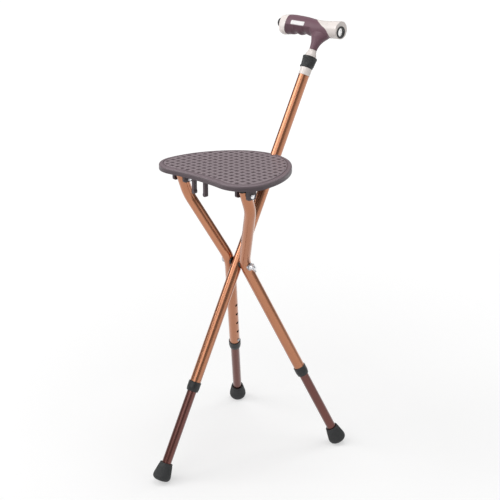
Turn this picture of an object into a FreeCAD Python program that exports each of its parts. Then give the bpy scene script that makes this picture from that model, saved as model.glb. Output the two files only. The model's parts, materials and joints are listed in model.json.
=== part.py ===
import FreeCAD, Part
import math
import os
import re
import Sketcher
from FreeCAD import Placement, Rotation, Vector

# A folding walking stick with a seat. One long stick carries the handle and one foot. Two bent legs
# cross it at a pivot bolt and carry the seat on their upper ends. All three feet telescope.
# Frame: +Z up, floor at z = 0, +X towards the torch end of the handle, +Y towards the handle.

# Driving dimensions in millimetres and degrees
SIZES = (
    ("pivot_height", 368.5, "pivot axis above the floor"),
    ("pivot_back", -13.1, "pivot axis along Y, so that the footprint is centred"),
    ("stick_angle", 28.65, "lean of the stick from upright, top backwards"),
    ("legs_angle", 20.6, "lean of the leg pair from upright, top forwards"),
    ("tube_outer", 20.0, "upper tubes, outside diameter"),
    ("tube_wall", 1.2, "upper tubes, wall"),
    ("lower_outer", 17.0, "telescoping tubes, outside diameter"),
    ("lower_wall", 1.2, "telescoping tubes, wall"),
    ("fit_gap", 0.05, "gap between pieces that are pushed or glued together"),
    ("pin_gap", 0.08, "radial gap of a hinge pin in its hole"),
    ("run_gap", 0.3, "gap between surfaces that move past each other"),
    ("foot_spread", 135.0, "half the distance between the two leg tips"),
    ("waist_gap", 1.4, "gap between the stick and each leg tube at the pivot"),
    ("waist_bend", 50.0, "centre line radius of the leg bend at the pivot"),
    ("shoulder_bend", 60.0, "centre line radius of the leg bend below the seat"),
    ("shoulder_height", 133.9, "corner of the upper leg bend above the pivot"),
    ("shoulder_spacing", 77.5, "half the distance between the leg tops"),
    ("hinge_reach", 168.0, "seat hinge above the pivot, along the legs"),
    ("hinge_end", 9.0, "leg tube beyond the seat hinge"),
    ("stick_exposed", 169.0, "stick foot base to the bottom of its collar"),
    ("leg_exposed", 159.9, "leg foot base to the bottom of its collar"),
    ("collar_length", 18.0, "plastic collar at the end of an upper tube"),
    ("collar_outer", 23.0, "collar, outside diameter"),
    ("collar_lip", 2.5, "collar floor under the tube end"),
    ("collar_edge", 1.0, "collar, bevels at both ends"),
    ("hole_pitch", 25.4, "spacing of the height holes"),
    ("hole_count", 5, "height holes in each upper tube"),
    ("hole_above", 8.0, "lowest height hole above the collar"),
    ("button_width", 5.4, "spring button, diameter"),
    ("button_proud", 2.0, "spring button beyond the outer tube"),
    ("button_depth", 20.0, "spring button below the top of its tube"),
    ("clip_width", 8.0, "spring clip strip, width"),
    ("clip_sheet", 0.6, "spring clip strip, thickness"),
    ("clip_length", 28.0, "spring clip below its button"),
    ("clip_bend", 8.0, "spring clip, height of the bend that joins its arms"),
    ("foot_outer", 33.0, "rubber foot, largest diameter"),
    ("foot_top", 24.0, "rubber foot, diameter at its mouth"),
    ("foot_length", 32.5, "rubber foot, length"),
    ("foot_round", 7.0, "rubber foot, rounding of the base"),
    ("foot_draft", 0.3, "how far the foot's side leans in above its base"),
    ("foot_mouth", 2.0, "straight part at the foot's mouth"),
    ("foot_floor", 8.0, "rubber under the steel disc"),
    ("disc_thick", 1.5, "steel disc in a rubber foot"),
    ("disc_gap", 0.2, "gap around the steel disc"),
    ("plug_dome", 2.6, "leg plug above the end of its tube"),
    ("bolt_width", 6.0, "pivot bolt, diameter"),
    ("bolt_cap", 9.6, "pivot bolt's head, diameter"),
    ("bolt_rise", 3.0, "pivot bolt's head, height"),
    ("bolt_spare", 3.0, "pivot bolt beyond the hub of the wing nut"),
    ("hub_length", 8.0, "hub of the wing nut, length"),
    ("wing_span", 20.4, "wing nut, across its wings"),
    ("wing_thick", 2.6, "wings of the nut, thickness"),
    ("saddle_width", 14.0, "saddle washer under bolt head and wing nut, diameter"),
    ("saddle_proud", 1.8, "saddle washer beyond the leg tube"),
    ("wrap_depth", 2.0, "how far washers and spacers reach round the leg tube"),
    ("spacer_width", 16.0, "spacer between stick and leg, diameter"),
    ("seat_width", 239.0, "seat, across"),
    ("seat_back", 155.0, "round end of the seat behind the hinge"),
    ("seat_front", 40.0, "bottom of the notch in front of the hinge"),
    ("seat_depth", 10.0, "depth of the seat rim"),
    ("seat_wall", 3.0, "seat wall and top thickness"),
    ("seat_rise", 27.0, "top of the seat above the hinge"),
    ("side_radius", 170.0, "sides of the outline"),
    ("lobe_radius", 50.0, "two front lobes of the outline"),
    ("lobe_back", 44.5, "centre of the lobes behind the notch"),
    ("edge_round", 3.5, "rounding of the seat's upper edge"),
    ("lip_width", 7.0, "raised lip around the seat's top"),
    ("groove_width", 1.6, "groove inside the lip"),
    ("groove_depth", 1.0, "depth of that groove"),
    ("border_width", 19.0, "lip, groove and smooth band around the woven field"),
    ("field_depth", 1.2, "recess that the woven field lies in"),
    ("ear_thick", 5.0, "hinge ear, thickness"),
    ("ear_width", 20.0, "hinge ear, width"),
    ("ear_drop", 6.5, "hinge ear below the hinge axis"),
    ("ear_round", 4.0, "hinge ear, rounding of its lower corners"),
    ("ear_gap", 0.5, "gap between ear and leg tube"),
    ("screw_width", 5.0, "seat hinge screw, diameter"),
    ("screw_cap", 9.2, "seat hinge screw's head, diameter"),
    ("screw_rise", 2.8, "seat hinge screw's head, height"),
    ("screw_spare", 1.5, "seat hinge screw beyond its nut"),
    ("hex_thick", 4.0, "nut of the seat hinge, thickness"),
    ("prong_gap", 23.0, "gap between the two clip prongs"),
    ("prong_thick", 4.5, "clip prong, thickness"),
    ("prong_width", 8.0, "clip prong, width"),
    ("prong_drop", 9.9, "clip prong below the hinge axis"),
    ("prong_front", 31.5, "clip prongs in front of the hinge"),
    ("barb_gap", 0.4, "gap between a prong's barb and the folded stick"),
    ("barb_length", 7.0, "barb at the tip of a prong, length"),
    ("rib_thick", 2.0, "ribs under the seat, thickness"),
    ("rib_depth", 6.0, "ribs under the seat, depth"),
    ("rib_apart", 38.0, "long ribs from the middle of the seat"),
    ("rib_back", 50.0, "long ribs end before the round end of the seat"),
    ("rib_near", 25.0, "first cross ribs behind the hinge"),
    ("rib_far", 70.0, "second cross ribs behind the hinge"),
    ("rib_clear", 20.0, "half the strip without ribs for the folded stick"),
    ("stop_depth", 6.0, "stop between the clip prongs, depth"),
    ("stop_width", 6.0, "stop between the clip prongs, width"),
    ("saddle_gap", 1.0, "gap between the stick and the saddle in the seat"),
    ("saddle_half", 17.0, "half the width of the saddle block"),
    ("saddle_long", 20.0, "saddle block, from front to rear"),
    ("saddle_reach", 40.0, "how far the stick's cut runs on below the rest pin"),
    ("rest_width", 6.0, "rest pin under the seat, diameter"),
    ("rest_half", 17.0, "half the length of the rest pin"),
    ("rest_gap", 0.1, "gap between the rest pin and the seat's rim"),
    ("handle_height", 451.0, "handle axis above the pivot, along the stick"),
    ("handle_rise", 17.5, "crosspiece of the handle, greatest height above its axis"),
    ("handle_half", 14.5, "crosspiece of the handle, half its depth at the grip"),
    ("cap_left", -91.5, "left end of the end cap"),
    ("grip_left", -74.1, "left end of the grip"),
    ("torch_left", 18.0, "where the torch housing starts to widen"),
    ("torch_right", 48.0, "right end of the torch housing"),
    ("cell_width", 10.5, "battery cell, diameter"),
    ("cell_length", 44.5, "battery cell, length"),
    ("nub_width", 3.8, "contact nub of a cell, diameter"),
    ("nub_length", 0.8, "contact nub of a cell, length"),
    ("carrier_wall", 1.3, "battery tube, wall"),
    ("carrier_gap", 0.5, "gap between battery tube and switch block"),
    ("contact_width", 3.0, "contact on the lamp board, diameter"),
    ("contact_rise", 1.0, "contact on the lamp board, height"),
    ("board_thick", 1.4, "lamp board, thickness"),
    ("lamp_sunk", 0.6, "front of the lamp board behind the reflector"),
    ("led_width", 5.0, "lamp, diameter"),
    ("led_length", 2.6, "lamp, straight part below its dome"),
    ("lamp_width", 20.0, "bore for reflector and lens, diameter"),
    ("bezel_width", 21.6, "bezel, outside diameter"),
    ("lens_view", 15.6, "free diameter of the bezel"),
    ("lamp_drop", 2.8, "reflector and lens below the handle's axis"),
    ("lamp_long", 26.0, "bore for reflector and lens, length"),
    ("cone_throat", 6.0, "small opening of the reflector, diameter"),
    ("cone_wall", 1.0, "reflector, wall"),
    ("cone_band", 2.0, "straight rim of the reflector"),
    ("lens_depth", 5.0, "back of the lens behind the torch's face"),
    ("lens_thick", 2.0, "lens, thickness"),
    ("bezel_proud", 1.5, "bezel beyond the torch housing"),
    ("push_width", 17.0, "torch button, diameter"),
    ("push_proud", 8.0, "torch button beyond the end cap"),
    ("push_well", 8.5, "well for the torch button, depth"),
    ("push_travel", 1.5, "torch button, travel"),
    ("push_round", 2.2, "torch button, rounding of its edge"),
    ("plunger_width", 4.0, "plunger of the torch button, diameter"),
    ("coil_wire", 0.7, "springs inside the handle, wire"),
    ("button_coil", 8.4, "torch button's spring, diameter"),
    ("button_room", 4.5, "torch button's spring, length"),
    ("cell_coil", 7.2, "spring under the cells, diameter"),
    ("cell_room", 3.0, "spring under the cells inside their tube"),
    ("stem_outer", 9.0, "tube inside the handle's stem, diameter"),
    ("stem_wall", 1.2, "tube inside the handle's stem, wall"),
    ("stem_length", 43.0, "lower end of the grip's stem below the handle axis"),
    ("ring_length", 13.3, "neck ring between lock collar and grip"),
    ("nut_length", 21.7, "lock collar, length"),
    ("bush_length", 11.0, "bush between stick tube and lock collar"),
    ("bush_inside", 16.0, "bush inside the stick tube"),
    ("stem_inside", 32.0, "stem tube inside the stick tube"),
    ("stem_deep", 32.0, "stem tube inside the grip"),
    ("pin_width", 3.0, "cross pin of the stem tube, diameter"),
    ("pin_above", 17.0, "cross pin above the lower end of the grip"),
    ("pin_half", 6.0, "half the length of the cross pin"),
    ("grip_bottom", "handle_height - stem_length", "lower end of the grip's stem above the pivot"),
    ("nut_top", "grip_bottom - ring_length", "upper end of the lock collar above the pivot"),
    ("nut_bottom", "nut_top - nut_length", "lower end of the lock collar above the pivot"),
    ("stick_top", "nut_bottom - bush_length", "top end of the stick tube above the pivot"),
    ("nut_wide", 27.2, "lock collar, diameter at the top"),
    ("nut_narrow", 22.8, "lock collar, diameter at the bottom"),
    ("nut_cover", 2.4, "top of the lock collar, thickness"),
    ("nut_edge", 1.0, "lock collar and neck ring, bevels"),
    ("neck_outer", 18.0, "threaded neck inside the lock collar, diameter"),
    ("bush_lip", 0.7, "bush beyond the stick tube's side"),
    ("ring_wide", 22.0, "neck ring at its lower end, diameter"),
    ("ring_narrow", 14.6, "neck ring at its upper end, diameter"),
    ("plate_length", 32.0, "bare plate on the grip, length"),
    ("plate_height", 8.0, "bare plate on the grip, height"),
    ("plate_thick", 1.6, "bare plate on the grip, thickness"),
    ("plate_proud", 0.7, "bare plate beyond the side of the grip"),
    ("plate_middle", -45.0, "middle of the bare plate along the grip"),
    ("plate_low", 1.0, "middle of the bare plate below the handle's axis"),
)

doc = FreeCAD.newDocument("walking_stick_seat")
sheet = doc.addObject("Spreadsheet::Sheet", "Sizes")
for row, (alias, number, meaning) in enumerate(SIZES, start=1):
    sheet.set(f"A{row}", meaning)
    sheet.set(f"B{row}", f"={number}" if isinstance(number, str) else str(number))
    sheet.setAlias(f"B{row}", alias)
doc.recompute()

parts = {}


def size(alias):
    """One driving dimension as a number."""
    return float(sheet.get(alias))


def value(expression):
    """The number that an expression in driving dimensions, or a plain number, stands for."""
    if isinstance(expression, str):
        return float(sheet.evalExpression(expression))
    return float(expression)


def bound(expression):
    """The same expression with every dimension named by its sheet."""
    return re.sub(r"\b([a-z]+_[a-z]+)\b", r"Sizes.\1", expression)


def bind(thing, place, expression):
    """Ties a property or constraint to the sheet, where its expression names a dimension."""
    if isinstance(expression, str):
        thing.setExpression(place, bound(expression))


# Layout that follows from the driving dimensions

def foot_rise(tilt):
    """Height of a foot's base centre when the rounded rim stands on the floor."""
    flat = size("foot_outer") / 2 - size("foot_round")
    return flat * math.sin(tilt) + size("foot_round") * (1 - math.cos(tilt))


def tangent_angle(point, centre, radius):
    """Angle from the leg's length to the line from point that touches the circle on its near side."""
    across = centre[0] - abs(point[0])
    along = centre[1] - point[1]
    return math.atan2(across, abs(along)) - math.asin(radius / math.hypot(across, along))


TUBE_R = size("tube_outer") / 2
STICK_LEAN = math.radians(size("stick_angle"))
LEGS_LEAN = math.radians(size("legs_angle"))
STICK_REACH = (size("pivot_height") - foot_rise(STICK_LEAN)) / math.cos(STICK_LEAN)
WAIST = TUBE_R + size("waist_gap") + TUBE_R
BEND_CENTRE = WAIST + size("waist_bend")

# The leg's slant and its reach depend on each other through the tilt of the foot, so both settle together
LEG_DEPTH = size("pivot_height")
LEG_SLANT = 0.0
for _ in range(30):
    LEG_SLANT = -tangent_angle((size("foot_spread"), -LEG_DEPTH), (BEND_CENTRE, 0.0), size("waist_bend"))
    tilt = math.acos(math.cos(LEG_SLANT) * math.cos(LEGS_LEAN))
    LEG_DEPTH = (size("pivot_height") - foot_rise(tilt)) / math.cos(LEGS_LEAN)
ARM_SLANT = -tangent_angle(
    (size("shoulder_spacing"), size("shoulder_height")), (BEND_CENTRE, 0.0), size("waist_bend")
)

PIVOT = Vector(0, size("pivot_back"), size("pivot_height"))
STICK_TURN = Rotation(Vector(1, 0, 0), -size("stick_angle"))
LEGS_TURN = Rotation(Vector(1, 0, 0), size("legs_angle"))
STICK = Placement(PIVOT, STICK_TURN)
LEGS = Placement(PIVOT, LEGS_TURN)
HINGE = LEGS.multVec(Vector(0, 0, size("hinge_reach")))
SEAT = Placement(HINGE, Rotation())
SIDES = (("left", -1), ("right", 1))


def along_stick(height):
    """Frame on the stick's axis at a height above the pivot."""
    return STICK.multiply(Placement(Vector(0, 0, height), Rotation()))


def along_leg(sign, height, turn=0.0):
    """Frame on a lower leg's axis at a height above the base of its foot, Z up the leg, turned about it."""
    tip = Vector(sign * size("foot_spread"), 0, -LEG_DEPTH)
    slant = Rotation(Vector(0, 1, 0), -sign * math.degrees(LEG_SLANT))
    frame = LEGS.multiply(Placement(tip, slant))
    return frame.multiply(Placement(Vector(0, 0, height), Rotation(Vector(0, 0, 1), turn)))


def across(base, x, outwards=1):
    """Frame whose Z runs along +X, or along -X, of a base frame, starting x along it."""
    return base.multiply(Placement(Vector(x, 0, 0), Rotation(Vector(0, 1, 0), 90 * outwards)))


# Ways of making a piece

def keep(label, thing):
    """Names a finished sub-part, which is written to a file of that name."""
    thing.Label = label
    parts[label] = thing


def origin_plane(body, role):
    return next(f for f in body.Origin.OriginFeatures if f.Role == role)


def new_body(name, placement):
    body = doc.addObject("PartDesign::Body", name)
    body.Placement = placement
    return body


def new_sketch(body, role, offset=None):
    sketch = body.newObject("Sketcher::SketchObject", f"{body.Name}_sketch")
    sketch.AttachmentSupport = [(origin_plane(body, role), "")]
    sketch.MapMode = "FlatFace"
    if offset is not None:
        sketch.AttachmentOffset = offset
    return sketch


def outline(sketch, corners):
    """Closed outline through corners, each a pair of expressions, with both distances bound."""
    points = [Vector(value(x), value(y), 0) for x, y in corners]
    first = sketch.GeometryCount
    count = len(corners)
    for index in range(count):
        sketch.addGeometry(Part.LineSegment(points[index], points[(index + 1) % count]), False)
    for index in range(count):
        follower = first + (index + 1) % count
        sketch.addConstraint(Sketcher.Constraint("Coincident", first + index, 2, follower, 1))
    for index, corner in enumerate(corners):
        for kind, expression in zip(("DistanceX", "DistanceY"), corner):
            item = Sketcher.Constraint(kind, -1, 1, first + index, 1, value(expression))
            number = sketch.addConstraint(item)
            bind(sketch, f"Constraints[{number}]", expression)


def circle(sketch, x, y, diameter):
    """Circle whose centre and diameter are bound."""
    radius = value(diameter) / 2
    item = sketch.addGeometry(Part.Circle(Vector(value(x), value(y), 0), Vector(0, 0, 1), radius), False)
    for kind, expression in (("DistanceX", x), ("DistanceY", y)):
        number = sketch.addConstraint(Sketcher.Constraint(kind, -1, 1, item, 3, value(expression)))
        bind(sketch, f"Constraints[{number}]", expression)
    number = sketch.addConstraint(Sketcher.Constraint("Diameter", item, value(diameter)))
    bind(sketch, f"Constraints[{number}]", diameter)


def pad(body, sketch, length, midplane=False, backwards=False):
    feature = body.newObject("PartDesign::Pad", f"{body.Name}_pad")
    feature.Profile = sketch
    feature.Length = value(length)
    bind(feature, "Length", length)
    feature.Midplane = midplane
    feature.Reversed = backwards


def pocket(body, sketch, length=None, backwards=False):
    """Cut of a given length, or right through both ways, that has to take material away."""
    doc.recompute()
    before = body.Shape.Volume
    feature = body.newObject("PartDesign::Pocket", f"{body.Name}_pocket")
    feature.Profile = sketch
    if length is None:
        feature.Type = "ThroughAll"
        feature.Midplane = True
    else:
        feature.Length = value(length)
        bind(feature, "Length", length)
        feature.Reversed = backwards
    doc.recompute()
    if body.Shape.Volume >= before - 1e-6:
        raise ValueError(f"{body.Name}: a cut removed nothing")
    return feature


def row(body, feature, sketch):
    """Repeats a height hole up the tube."""
    pattern = body.newObject("PartDesign::LinearPattern", f"{body.Name}_row")
    pattern.Originals = [feature]
    pattern.Direction = (sketch, ["V_Axis"])
    pattern.Length = value("hole_pitch * (hole_count - 1)")
    bind(pattern, "Length", "hole_pitch * (hole_count - 1)")
    pattern.Occurrences = int(size("hole_count"))
    bind(pattern, "Occurrences", "hole_count")
    body.Tip = pattern


def turned(name, corners, placement):
    """Body turned about its Z axis from a half section, given as pairs of radius and height."""
    body = new_body(name, placement)
    sketch = new_sketch(body, "XZ_Plane")
    outline(sketch, corners)
    feature = body.newObject("PartDesign::Revolution", f"{name}_turn")
    feature.Profile = sketch
    feature.ReferenceAxis = (sketch, ["V_Axis"])
    feature.Angle = 360
    return body


def ring(name, outer, inner, low, high, placement):
    """Plain tube or washer, from its two diameters and two heights."""
    half_outer = f"({outer}) / 2"
    half_inner = f"({inner}) / 2"
    corners = ((half_inner, low), (half_outer, low), (half_outer, high), (half_inner, high))
    return turned(name, corners, placement)


def rounded(body, radius, chosen):
    """Rounds the edges of the body that the test chooses, by a bound radius."""
    doc.recompute()
    base = body.Tip
    edges = [f"Edge{i}" for i, edge in enumerate(base.Shape.Edges, start=1) if chosen(edge)]
    feature = body.newObject("PartDesign::Fillet", f"{body.Name}_round")
    feature.Base = (base, edges)
    feature.Radius = value(radius)
    bind(feature, "Radius", radius)
    doc.recompute()


def grouped(label, members):
    """Several like solids that share one name."""
    group = doc.addObject("Part::Compound", label)
    group.Links = members
    keep(label, group)


def shaped(label, shape, placement):
    """Free-form piece whose shape is worked out from the sheet."""
    thing = doc.addObject("Part::Feature", label)
    thing.Shape = shape
    thing.Placement = placement.multiply(shape.Placement)
    keep(label, thing)


# Telescoping feet, the same for the stick and both legs

CLIP_REACH = "(sqrt((lower_outer / 2 - lower_wall) ^ 2 - (clip_width / 2) ^ 2) - fit_gap)"


def foot(name, base):
    """Rubber foot with a rounded base and the steel disc on its floor."""
    rubber = turned(
        f"{name}_foot",
        (
            (0, 0),
            ("foot_outer / 2", 0),
            ("foot_outer / 2 - foot_draft", "foot_length / 3"),
            ("foot_top / 2", "foot_length - foot_mouth"),
            ("foot_top / 2", "foot_length"),
            ("lower_outer / 2 + fit_gap", "foot_length"),
            ("lower_outer / 2 + fit_gap", "foot_floor"),
            (0, "foot_floor"),
        ),
        base,
    )
    rounded(rubber, "foot_round", lambda edge: edge.BoundBox.ZMax < 0.01 and edge.Length > 10)
    keep(f"{name}_foot", rubber)
    label = f"{name}_foot_disc"
    keep(label, ring(label, "lower_outer - 2 * disc_gap", "0", "foot_floor", "foot_floor + disc_thick", base))


def lower_tube(name, exposed, base):
    """Telescoping tube with the hole for its spring button."""
    top = f"{exposed} + collar_length + hole_above + button_depth"
    tube = ring(
        f"{name}_lower_tube",
        "lower_outer",
        "lower_outer - 2 * lower_wall",
        "foot_floor + disc_thick",
        top,
        base,
    )
    sketch = new_sketch(tube, "YZ_Plane")
    circle(sketch, 0, f"{exposed} + collar_length + hole_above", "button_width + 2 * fit_gap")
    pocket(tube, sketch, "lower_outer", backwards=True)
    keep(f"{name}_lower_tube", tube)


def spring_button(name, frame):
    """Bent strip inside the tube, with the button that locks the height at the end of one arm."""
    body = new_body(f"{name}_spring_button", frame)
    fold = "(-clip_length)"
    corners = (
        (CLIP_REACH, "button_width"),
        (CLIP_REACH + " - clip_sheet", "button_width"),
        (CLIP_REACH + " - clip_sheet", f"{fold} + clip_bend"),
        (0, f"{fold} + 2 * clip_sheet"),
        ("clip_sheet - " + CLIP_REACH, "0 - button_width / 2"),
        ("0 - " + CLIP_REACH, "0 - button_width / 2"),
        ("0 - clip_sheet", fold),
        ("clip_sheet", fold),
        (CLIP_REACH, f"{fold} + clip_bend - clip_sheet"),
    )
    strip = new_sketch(body, "XZ_Plane")
    outline(strip, corners)
    pad(body, strip, "clip_width", midplane=True)
    head = new_sketch(body, "XZ_Plane")
    tip = "tube_outer / 2 + button_proud"
    outline(
        head,
        (
            (CLIP_REACH + " - clip_sheet", 0),
            (tip, 0),
            (tip, "button_width / 4"),
            (tip + " - button_proud / 3", "button_width / 2"),
            (CLIP_REACH + " - clip_sheet", "button_width / 2"),
        ),
    )
    feature = body.newObject("PartDesign::Revolution", f"{name}_button")
    feature.Profile = head
    feature.ReferenceAxis = (head, ["H_Axis"])
    feature.Angle = 360
    keep(f"{name}_spring_button", body)


def collar(name, frame):
    """Plastic collar that closes the end of an upper tube and guides the telescoping tube."""
    body = turned(
        f"{name}_collar",
        (
            ("lower_outer / 2 + run_gap", 0),
            ("collar_outer / 2 - collar_edge", 0),
            ("collar_outer / 2", "collar_length / 3"),
            ("collar_outer / 2", "collar_length - collar_edge"),
            ("collar_outer / 2 - collar_edge", "collar_length"),
            ("tube_outer / 2 + fit_gap", "collar_length"),
            ("tube_outer / 2 + fit_gap", "collar_lip"),
            ("lower_outer / 2 + run_gap", "collar_lip"),
        ),
        frame,
    )
    keep(f"{name}_collar", body)


def height_holes(tube, sketch, height, backwards):
    """Row of holes in one wall of an upper tube."""
    circle(sketch, 0, height, "button_width + 2 * run_gap")
    first = pocket(tube, sketch, "tube_outer", backwards=backwards)
    row(tube, first, sketch)


# The stick

STICK_BASE = along_stick(-STICK_REACH)
QUARTER = Rotation(Vector(0, 0, 1), 90)
STICK_BASE_TURNED = STICK_BASE.multiply(Placement(Vector(), QUARTER))


def stick():
    """Long stick tube with its foot, collar, height lock and the pin that carries the seat's rear."""
    low = STICK_REACH - size("stick_exposed") - size("collar_lip")
    tube = ring("stick_tube", "tube_outer", "tube_outer - 2 * tube_wall", -low, "stick_top", STICK)
    across_pivot = new_sketch(tube, "YZ_Plane")
    circle(across_pivot, 0, 0, "bolt_width + 2 * pin_gap")
    pocket(tube, across_pivot)
    across_rest = new_sketch(tube, "YZ_Plane")
    circle(across_rest, 0, REST_HEIGHT, "rest_width + 2 * fit_gap")
    pocket(tube, across_rest)
    holes = new_sketch(tube, "XZ_Plane")
    first_hole = size("stick_exposed") + size("collar_length") + size("hole_above") - STICK_REACH
    height_holes(tube, holes, first_hole, backwards=False)
    keep("stick_tube", tube)

    collar("stick", along_stick(size("stick_exposed") - STICK_REACH))
    foot("stick", STICK_BASE)
    lower_tube("stick", "stick_exposed", STICK_BASE_TURNED)
    button = size("stick_exposed") + size("collar_length") + size("hole_above")
    spring_button("stick", STICK_BASE_TURNED.multiply(Placement(Vector(0, 0, button), Rotation())))

    side = across(along_stick(REST_HEIGHT), 0)
    pin = ring("seat_rest_pin", "rest_width", "0", "0 - rest_half", "rest_half", side)
    rounded(pin, "rest_width / 6", lambda edge: abs(edge.BoundBox.ZLength) < 0.01)
    keep("seat_rest_pin", pin)


# The legs

def leg_path(sign):
    """Centre line of a leg tube, from its top down: straight, shoulder bend, arm, waist bend, lower leg."""
    top_x = size("shoulder_spacing")
    run = size("shoulder_bend") * math.tan(ARM_SLANT / 2)
    corner = Vector(top_x, size("shoulder_height"), 0)
    arm = Vector(-math.sin(ARM_SLANT), -math.cos(ARM_SLANT), 0)
    lower = Vector(math.sin(LEG_SLANT), -math.cos(LEG_SLANT), 0)
    centre = Vector(BEND_CENTRE, 0, 0)
    bend = size("waist_bend")
    top = Vector(top_x, size("hinge_reach") + size("hinge_end"), 0)
    shoulder_in = corner + Vector(0, run, 0)
    shoulder_out = corner + arm * run
    shoulder_mid = Vector(top_x - size("shoulder_bend"), shoulder_in.y, 0) + Vector(
        math.cos(ARM_SLANT / 2), -math.sin(ARM_SLANT / 2), 0
    ) * size("shoulder_bend")
    waist_in = centre + Vector(-math.cos(ARM_SLANT), math.sin(ARM_SLANT), 0) * bend
    waist_out = centre + Vector(-math.cos(LEG_SLANT), -math.sin(LEG_SLANT), 0) * bend
    middle = (LEG_SLANT - ARM_SLANT) / 2
    waist_mid = centre + Vector(-math.cos(middle), -math.sin(middle), 0) * bend
    tip = Vector(size("foot_spread"), -LEG_DEPTH, 0)
    end = tip - lower * (size("leg_exposed") + size("collar_lip"))
    mirrored = [
        Vector(sign * p.x, p.y, 0)
        for p in (top, shoulder_in, shoulder_mid, shoulder_out, waist_in, waist_mid, waist_out, end)
    ]
    top, shoulder_in, shoulder_mid, shoulder_out, waist_in, waist_mid, waist_out, end = mirrored
    return (
        Part.LineSegment(top, shoulder_in),
        Part.Arc(shoulder_in, shoulder_mid, shoulder_out),
        Part.LineSegment(shoulder_out, waist_in),
        Part.Arc(waist_in, waist_mid, waist_out),
        Part.LineSegment(waist_out, end),
    )


def leg_tube(name, sign):
    """Bent leg tube with its height holes on the inner side and holes for pivot bolt and hinge screw."""
    body = new_body(f"{name}_leg_tube", LEGS)
    path = new_sketch(body, "XZ_Plane")
    for item in leg_path(sign):
        path.addGeometry(item, False)
        path.addConstraint(Sketcher.Constraint("Block", path.GeometryCount - 1))
    start = Vector(sign * size("shoulder_spacing"), 0, size("hinge_reach") + size("hinge_end"))
    section = new_sketch(body, "XY_Plane", Placement(start, Rotation()))
    circle(section, 0, 0, "tube_outer")
    circle(section, 0, 0, "tube_outer - 2 * tube_wall")
    pipe = body.newObject("PartDesign::AdditivePipe", f"{name}_leg_sweep")
    pipe.Profile = section
    pipe.Spine = path
    doc.recompute()
    bores = new_sketch(body, "YZ_Plane")
    circle(bores, 0, 0, "bolt_width + 2 * fit_gap")
    circle(bores, 0, "hinge_reach", "screw_width + 2 * pin_gap")
    pocket(body, bores)
    tip = Vector(0, -LEG_DEPTH, sign * size("foot_spread"))
    slant = Rotation(Vector(1, 0, 0), -sign * math.degrees(LEG_SLANT))
    holes = new_sketch(body, "YZ_Plane", Placement(tip, slant))
    height_holes(body, holes, "leg_exposed + collar_length + hole_above", backwards=sign < 0)
    keep(f"{name}_leg_tube", body)


def leg(name, sign):
    """One leg: tube, collar, foot, telescoping tube and its spring button, which points inwards."""
    leg_tube(name, sign)
    collar(f"{name}_leg", along_leg(sign, size("leg_exposed")))
    foot(f"{name}_leg", along_leg(sign, 0))
    inward = 0 if sign < 0 else 180
    base = along_leg(sign, 0, inward)
    lower_tube(f"{name}_leg", "leg_exposed", base)
    button = size("leg_exposed") + size("collar_length") + size("hole_above")
    spring_button(f"{name}_leg", along_leg(sign, button, inward))


def leg_plugs():
    """Plastic plugs in the upper ends of the leg tubes, held by the hinge screws."""
    plugs = []
    for name, sign in SIDES:
        hinge = Vector(sign * size("shoulder_spacing"), 0, size("hinge_reach"))
        frame = LEGS.multiply(Placement(hinge, Rotation()))
        inner = "tube_outer / 2 - tube_wall - fit_gap"
        plug = turned(
            f"{name}_plug",
            (
                (0, "0 - hinge_end"),
                (inner, "0 - hinge_end"),
                (inner, "hinge_end + fit_gap"),
                ("tube_outer / 2", "hinge_end + fit_gap"),
                ("tube_outer / 2 - plug_dome / 2", "hinge_end + plug_dome * 0.8"),
                (0, "hinge_end + plug_dome"),
            ),
            frame,
        )
        bore = new_sketch(plug, "YZ_Plane")
        circle(bore, 0, 0, "screw_width + 2 * pin_gap")
        pocket(plug, bore)
        plugs.append(plug)
    grouped("leg_top_plugs", plugs)


# The pivot

def waist_torus(sign, spare):
    """The leg tube's bend as a torus, with spare on its radius, for pieces that lie against it."""
    torus = doc.addObject("Part::Torus", "waist")
    bind(torus, "Radius1", "waist_bend")
    bind(torus, "Radius2", f"tube_outer / 2 + {spare}")
    centre = Placement(Vector(sign * BEND_CENTRE, 0, 0), Rotation(Vector(1, 0, 0), 90))
    torus.Placement = LEGS.multiply(centre)
    return torus


def fitted_washer(name, sign, outer, start, length):
    """Washer along the pivot axis whose face is hollowed to the leg's bend."""
    frame = across(LEGS, sign * start, sign)
    washer = ring(f"{name}_blank", outer, "bolt_width + 2 * fit_gap", 0, length, frame)
    cut = doc.addObject("Part::Cut", name)
    cut.Base = washer
    cut.Tool = waist_torus(sign, "fit_gap")
    return cut


# outline of one wing: shares of the nut's span, from its middle, and of its hub's length
WING = ((0.20, 0.13), (0.34, 0.38), (0.50, 1.13), (0.46, 1.38), (0.34, 1.40), (0.20, 0.81))


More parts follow.
